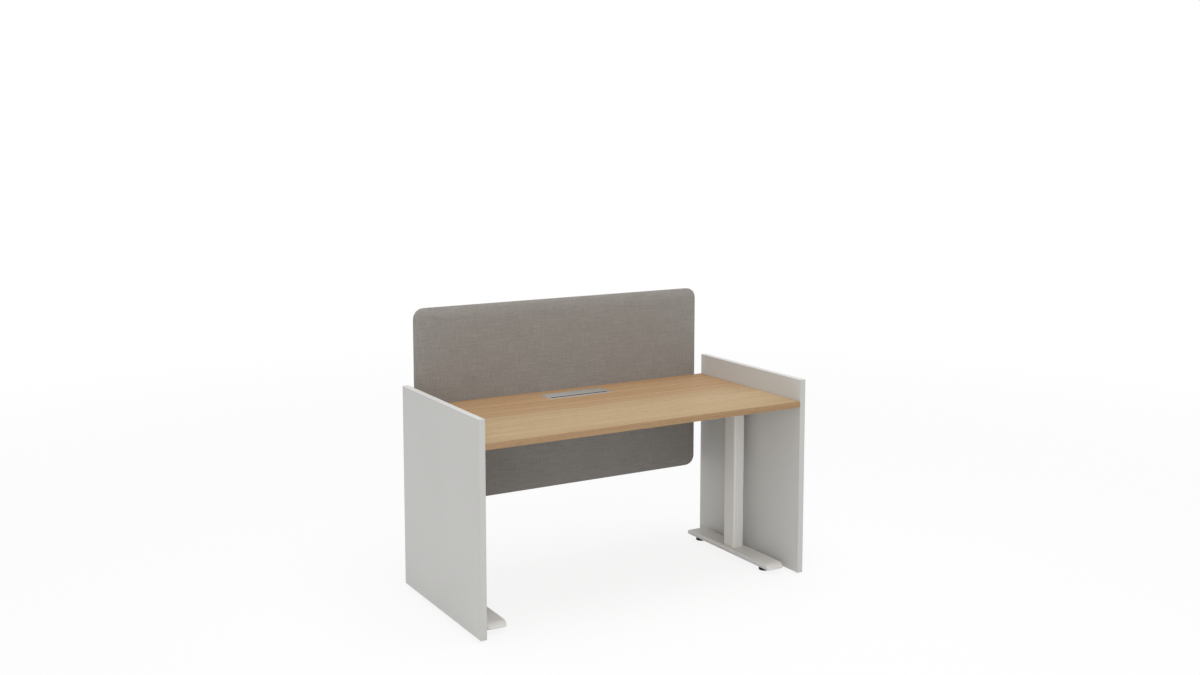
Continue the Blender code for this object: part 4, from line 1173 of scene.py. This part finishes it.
# %% [markdown]
# ## Folded sheet and moulded housings
# Brackets, arms, rails, plates, tray and housings already have their shape in the solids, but with knife
# edges. Real sheet is tumbled and real plastic comes from a tool with a small radius, and that radius
# catches the light. A copy of each solid is merged into whole faces and a Bevel modifier rounds it.

# %% Softened solids
SHEET_ROUND = {
    "support_arm": 0.0006, "cross_rail": 0.0012, "head_plate": 0.0008, "panel_bracket": 0.0007,
    "screen_bracket": 0.0007, "cable_tray": 0.0004, "control_box": 0.0008, "handset_body": 0.0005,
    "flap_frame": 0.0004, "flap_lid": 0.0004,
}
MERGE_WITHIN = 1e-5
FLAT_ANGLE = math.radians(0.5)
EDGE_ANGLE = math.radians(32)


def softened(node_name, width):
    """A copy of a solid, merged into whole faces, with its edges rounded to a width in metres."""
    form = bmesh.new()
    form.from_mesh(frame["nodes"][node_name].data)
    bmesh.ops.remove_doubles(form, verts=form.verts, dist=MERGE_WITHIN)
    bmesh.ops.dissolve_limit(form, angle_limit=FLAT_ANGLE, verts=form.verts, edges=form.edges)
    mesh = bpy.data.meshes.new(f"{node_name}_soft")
    form.to_mesh(mesh)
    form.free()
    mesh.shade_smooth()
    piece = set_piece(f"{node_name}_soft", mesh, node=node_name)
    rounding = piece.modifiers.new("soft_edges", "BEVEL")
    rounding.width = width
    rounding.segments = 2
    rounding.limit_method = "ANGLE"
    rounding.angle_limit = EDGE_ANGLE
    rounding.harden_normals = True
    return len(mesh.polygons)


for word, width in SHEET_ROUND.items():
    named = [name for name in frame["nodes"] if name.startswith(word)]
    print(word, [softened(name, width) for name in named], "faces before rounding")

# %% [markdown]
# ## Brush in the cable slot
# The slot between flap and frame is closed by a row of black bristles, so that cables pass and crumbs
# don't. Each bristle is too thin to model alone, so the row is one closed surface: a flat tongue section
# carried along X, whose height ripples with the sine of the bristle count and whose tip is a little
# longer or shorter for each bristle.

# %% Slot brush
BRISTLE = 0.0011
BRISTLE_STEPS = 4
BRUSH_BELOW = 0.0001
BRUSH_DEEP = 0.0022
BRUSH_RIPPLE = 0.0003
BRUSH_ROOM = 0.0002
TIP_UNEVEN = 0.0006
TIP_TURN, TIP_SCATTER = 12.9898, 43758.5453
FLAP_FRONT_BAR, FLAP_SIDE_BAR = 0.020, 0.012
TONGUE_REACH = np.array([0, 0.35, 0.7, 0.97, 1.0, 0.97, 0.7, 0.35, 0])
TONGUE_DEPTH = np.array([0, 0.01, 0.02, 0.06, 0.5, 0.90, 0.97, 0.98, 1.0])


def slot_brush():
    """The tongue's section at every quarter bristle, from root to tip and back underneath.

    Bristle n is shorter by the fraction part of s sin(t n): scattered tips that are the same each run.
    """
    root = flap_low[1] + FLAP_FRONT_BAR + BRUSH_ROOM
    half = flap_high[0] - FLAP_SIDE_BAR - 2 * BRUSH_ROOM
    along = np.arange(-half, half, BRISTLE / BRISTLE_STEPS)
    bristle = np.floor(along / BRISTLE)
    ripple = np.abs(np.sin(math.pi * along / BRISTLE))
    short = (np.sin(bristle * TIP_TURN) * TIP_SCATTER) % 1
    tip = box_of("flap_lid")[2][1] - BRUSH_ROOM - TIP_UNEVEN * short
    y = root + (tip - root)[:, None] * TONGUE_REACH
    waves = BRUSH_RIPPLE * (1 - ripple)[:, None] * (1 - 2 * TONGUE_DEPTH)
    sink = BRUSH_BELOW + BRUSH_DEEP * TONGUE_DEPTH + waves
    rings = np.stack([np.broadcast_to(along[:, None], y.shape), y, flap_high[2] - sink], -1)
    add_piece("slot_brush", rings, sharp=60.0, slot="black_plastic", finish="black_bristle")
    return len(np.unique(bristle))


print("slot brush with", slot_brush(), "bristles")

# %% [markdown]
# ## Screws
# Every bracket is held by pan-head screws with a cross recess, and the plates on the columns by hexagon
# bolts. A head is a polar grid: its dome is the square root of 1 - t^2 over the share t of the radius,
# and the recess is pressed in where a point lies inside a cross. One head is worked out once, and all
# places are added to it as one array.

# %% Screw heads
SCREW_RADIUS = 0.0042
SCREW_HEIGHT = 0.0024
SCREW_RINGS = np.array([0.06, 0.18, 0.30, 0.42, 0.54, 0.66, 0.80, 0.92, 1.0, 1.0])
DOME_PART = 0.65
CROSS_WIDE, CROSS_WIDE_SOFT = 0.17, 0.06
CROSS_LONG, CROSS_LONG_SOFT = 0.60, 0.08
CROSS_DEEP = 0.55
BOLT_RADIUS = 0.0075
BOLT_HEIGHT = 0.0052
BOLT_RINGS = np.array([(0.3, 1.0), (0.86, 1.0), (1.0, 0.86), (1.0, 0.0)])
DOWNWARD = (0, 0, -1)


def pan_head(steps=24):
    """Rings of a screw head from its middle out and down to its seat, flat on z = 0."""
    round_part = np.sqrt(1 - np.minimum(SCREW_RINGS, 0.999) ** 2)
    dome = SCREW_HEIGHT * (1 - DOME_PART + DOME_PART * round_part)
    dome[-1] = 0.0
    rings = turned(SCREW_RINGS * SCREW_RADIUS, dome, steps)
    reach = np.abs(rings[..., :2]) / SCREW_RADIUS
    in_width = np.clip((CROSS_WIDE - reach.min(-1)) / CROSS_WIDE_SOFT, 0, 1)
    in_length = np.clip((CROSS_LONG - reach.max(-1)) / CROSS_LONG_SOFT, 0, 1)
    rings[..., 2] -= CROSS_DEEP * SCREW_HEIGHT * in_width * in_length
    return rings


def hexagon_head():
    """Rings of a bolt head: a chamfered top and six upright sides, flat on z = 0."""
    return turned(BOLT_RINGS[:, 0] * BOLT_RADIUS, BOLT_RINGS[:, 1] * BOLT_HEIGHT, 6)


def heads(name, places, facing=DOWNWARD, head=pan_head()):
    """Copies of one head, set on places and turned to face one way, as one piece on the moving top."""
    outward = np.array(facing, float)
    level = AXES[1] if abs(outward[1]) < 0.5 else AXES[0]
    other = np.cross(outward, level)
    shape = head[..., :1] * level + head[..., 1:2] * other + head[..., 2:] * outward
    points, faces = repeated(shape, places)
    add_piece(name, points, faces, sharp=30.0, slot="zinc_plated_steel")
    return len(places)


print("a screw head has", pan_head().size // 3, "points")

# %% [markdown]
# ## Screws of the brackets
# Each leg of an angle has two screws, one leg screwed up into the top and the other into the panel or the
# screen.

# %% Bracket screws
BRACKET_SHEET = 0.003
BRACKET_HOLE = 0.021
SCREEN_HOLE_UP, SCREEN_HOLE_BACK = 0.014, 0.016
SCREW_PAIR = np.array([-1, 1]) * 0.018
count = 0
for side, sign in (("left", -1), ("right", 1)):
    under, inward = [], []
    for end in ("front", "rear"):
        middle, _, low, high = box_of(f"panel_bracket_{side}_{end}")
        corner = high[0] if sign > 0 else low[0]
        y = middle[1] + SCREW_PAIR
        under += [(corner - sign * BRACKET_HOLE, place, high[2] - BRACKET_SHEET) for place in y]
        inward += [(corner - sign * BRACKET_SHEET, place, high[2] - BRACKET_HOLE) for place in y]
    count += heads(f"panel_bracket_screws_up_{side}", under)
    count += heads(f"panel_bracket_screws_out_{side}", inward, (-sign, 0, 0))
    middle, _, low, high = box_of(f"screen_bracket_{side}")
    x = middle[0] + SCREW_PAIR
    upper = [(place, low[1] + SCREEN_HOLE_UP, high[2] - BRACKET_SHEET) for place in x]
    lower = [(place, high[1] - BRACKET_SHEET, low[2] + SCREEN_HOLE_BACK) for place in x]
    count += heads(f"screen_bracket_screws_up_{side}", upper)
    count += heads(f"screen_bracket_screws_back_{side}", lower, (0, -1, 0))
print(count, "bracket screws")

# %% [markdown]
# ## Fixings of frame, tray and control box
# The arms are screwed up into the top through their webs, the tray through its flanges and the control
# box through its two ears. Each column's plate takes four bolts from below.

# %% Frame fixings
ARM_SHEET = 0.0025
ARM_SCREWS = np.array([-0.40, -0.24, 0.24, 0.40])
BOLT_SPREAD = (0.036, 0.054)
TRAY_SHEET = 0.0015
TRAY_SCREWS = np.array([-0.42, 0, 0.42])
TRAY_HOLE = 0.0068
EAR_HOLE, EAR_SPREAD = 0.006, 0.036
FOUR = [(dx, dy) for dx in (-1, 1) for dy in (-1, 1)]
count = 0
for side in ("left", "right"):
    middle, size, _, high = box_of(f"support_arm_{side}")
    web = [(middle[0], y, high[2] - ARM_SHEET) for y in middle[1] + ARM_SCREWS * size[1]]
    count += heads(f"support_arm_screws_{side}", web)
    middle, _, low, _ = box_of(f"head_plate_{side}")
    column_y = box_of(f"inner_tube_{side}")[0][1]
    plate = [(middle[0] + dx * BOLT_SPREAD[0], column_y + dy * BOLT_SPREAD[1], low[2]) for dx, dy in FOUR]
    count += heads(f"head_plate_bolts_{side}", plate, head=hexagon_head())
middle, size, low, high = box_of("cable_tray")
tray_y = (low[1] + TRAY_HOLE, high[1] - TRAY_HOLE)
flange = [(x, y, high[2] - TRAY_SHEET) for x in middle[0] + TRAY_SCREWS * size[0] for y in tray_y]
count += heads("cable_tray_screws", flange)
middle, size, low, _ = box_of("control_box_base")
ear_x = size[0] / 2 - EAR_HOLE
ears = [(middle[0] + dx * ear_x, middle[1] + dy * EAR_SPREAD, low[2]) for dx, dy in FOUR]
count += heads("control_box_screws", ears)
print(count, "frame, tray and box fixings")

# %% [markdown]
# ## Handset buttons
# Each button is a small cushion with a raised arrow, so that it can be told by touch. The button is the
# box's own outline drawn in towards its face with a soft edge. The arrow is a triangle with round
# corners: a corner's middle plus a small radius times (cos, sin) over the turn there.

# %% Buttons with arrows
BUTTON_SOFT = 0.0012
BUTTON_CORNER = 0.0022
ARROW_PROUD = 0.0003
ARROW_REACH, ARROW_ROUND = 0.0017, 0.0005
ARROW_WIDE = 1.25
ARROW_SUNK, ARROW_SOFT = 0.0002, 0.0001
ARROW_PARTS = np.array([1.0, 1.0, 0.95])
ACROSS_ORDER = [0, 2, 1]


def arrow_outline(points_up):
    """A round-cornered triangle that points up or down, five points to each corner."""
    corner = np.array([math.pi / 2, math.pi * 7 / 6, math.pi * 11 / 6])
    bend = np.linspace(-math.pi / 3, math.pi / 3, 5)
    around = (corner[:, None] + bend[None]).ravel()
    heart = np.repeat(corner, len(bend))
    shape = ARROW_REACH * np.stack([np.cos(heart), np.sin(heart)], -1)
    shape += ARROW_ROUND * np.stack([np.cos(around), np.sin(around)], -1)
    return shape * (ARROW_WIDE, 1 if points_up else -1)


def handset_button(word, points_up):
    """The cap, and the arrow that stands out of its face."""
    node_name = f"handset_{word}_button"
    middle, size, low, high = box_of(node_name)
    middle[1] = 0
    face = low[1] + ARROW_PROUD
    turn = np.linspace(0, math.pi / 2, 5)
    insets, depths = BUTTON_SOFT * (1 - np.cos(turn)), face + BUTTON_SOFT * (1 - np.sin(turn))
    profile = [(0, high[1]), *zip(insets, depths)]
    rings = drawn_in(size[0], size[2], BUTTON_CORNER, profile, 6)[..., ACROSS_ORDER] + middle
    add_piece(f"{node_name}_cap", rings, sharp=50.0, node=node_name)

    levels = np.array([face + ARROW_SUNK, low[1] + ARROW_SOFT, low[1]])
    flat = arrow_outline(points_up) * ARROW_PARTS[:, None, None]
    depths = np.broadcast_to(levels[:, None], flat.shape[:2])
    arrow = np.stack([flat[..., 0], depths, flat[..., 1]], -1) + middle
    add_piece(f"{node_name}_arrow", arrow, slot="dark_grey_plastic", body=body_of[node_name])
    return size


for word, points_up in (("up", True), ("down", False)):
    print("button", word, rounded(handset_button(word, points_up)))

# %% [markdown]
# ## Ribs under the control box
# The control box has cooling ribs moulded along its underside: bars with round ends, carried down from
# the cover's underside by less than a millimetre.

# %% Control box ribs
RIBS = 9
RIB_PROUD, RIB_STRAIGHT = 0.0009, 0.00054
RIB_SUNK = 0.0006
RIB_WIDTH, RIB_ROUND, RIB_SOFT = 0.0034, 0.0016, 0.0004
RIB_LONG_PART, RIB_SPREAD_PART = 0.62, 0.34
middle, size, low, _ = box_of("control_box_cover")
rib_profile = [(0.0, low[2] + RIB_SUNK), (0.0, low[2] - RIB_STRAIGHT), (RIB_SOFT, low[2] - RIB_PROUD)]
rib = drawn_in(size[0] * RIB_LONG_PART, RIB_WIDTH, RIB_ROUND, rib_profile, 6)
rib_y = middle[1] + np.linspace(-RIB_SPREAD_PART, RIB_SPREAD_PART, RIBS) * size[1]
ribs, rib_faces = repeated(rib, [(middle[0], y, 0) for y in rib_y])
add_piece("control_box_ribs", ribs, rib_faces, sharp=45.0, slot="dark_grey_plastic")
print(RIBS, "ribs")
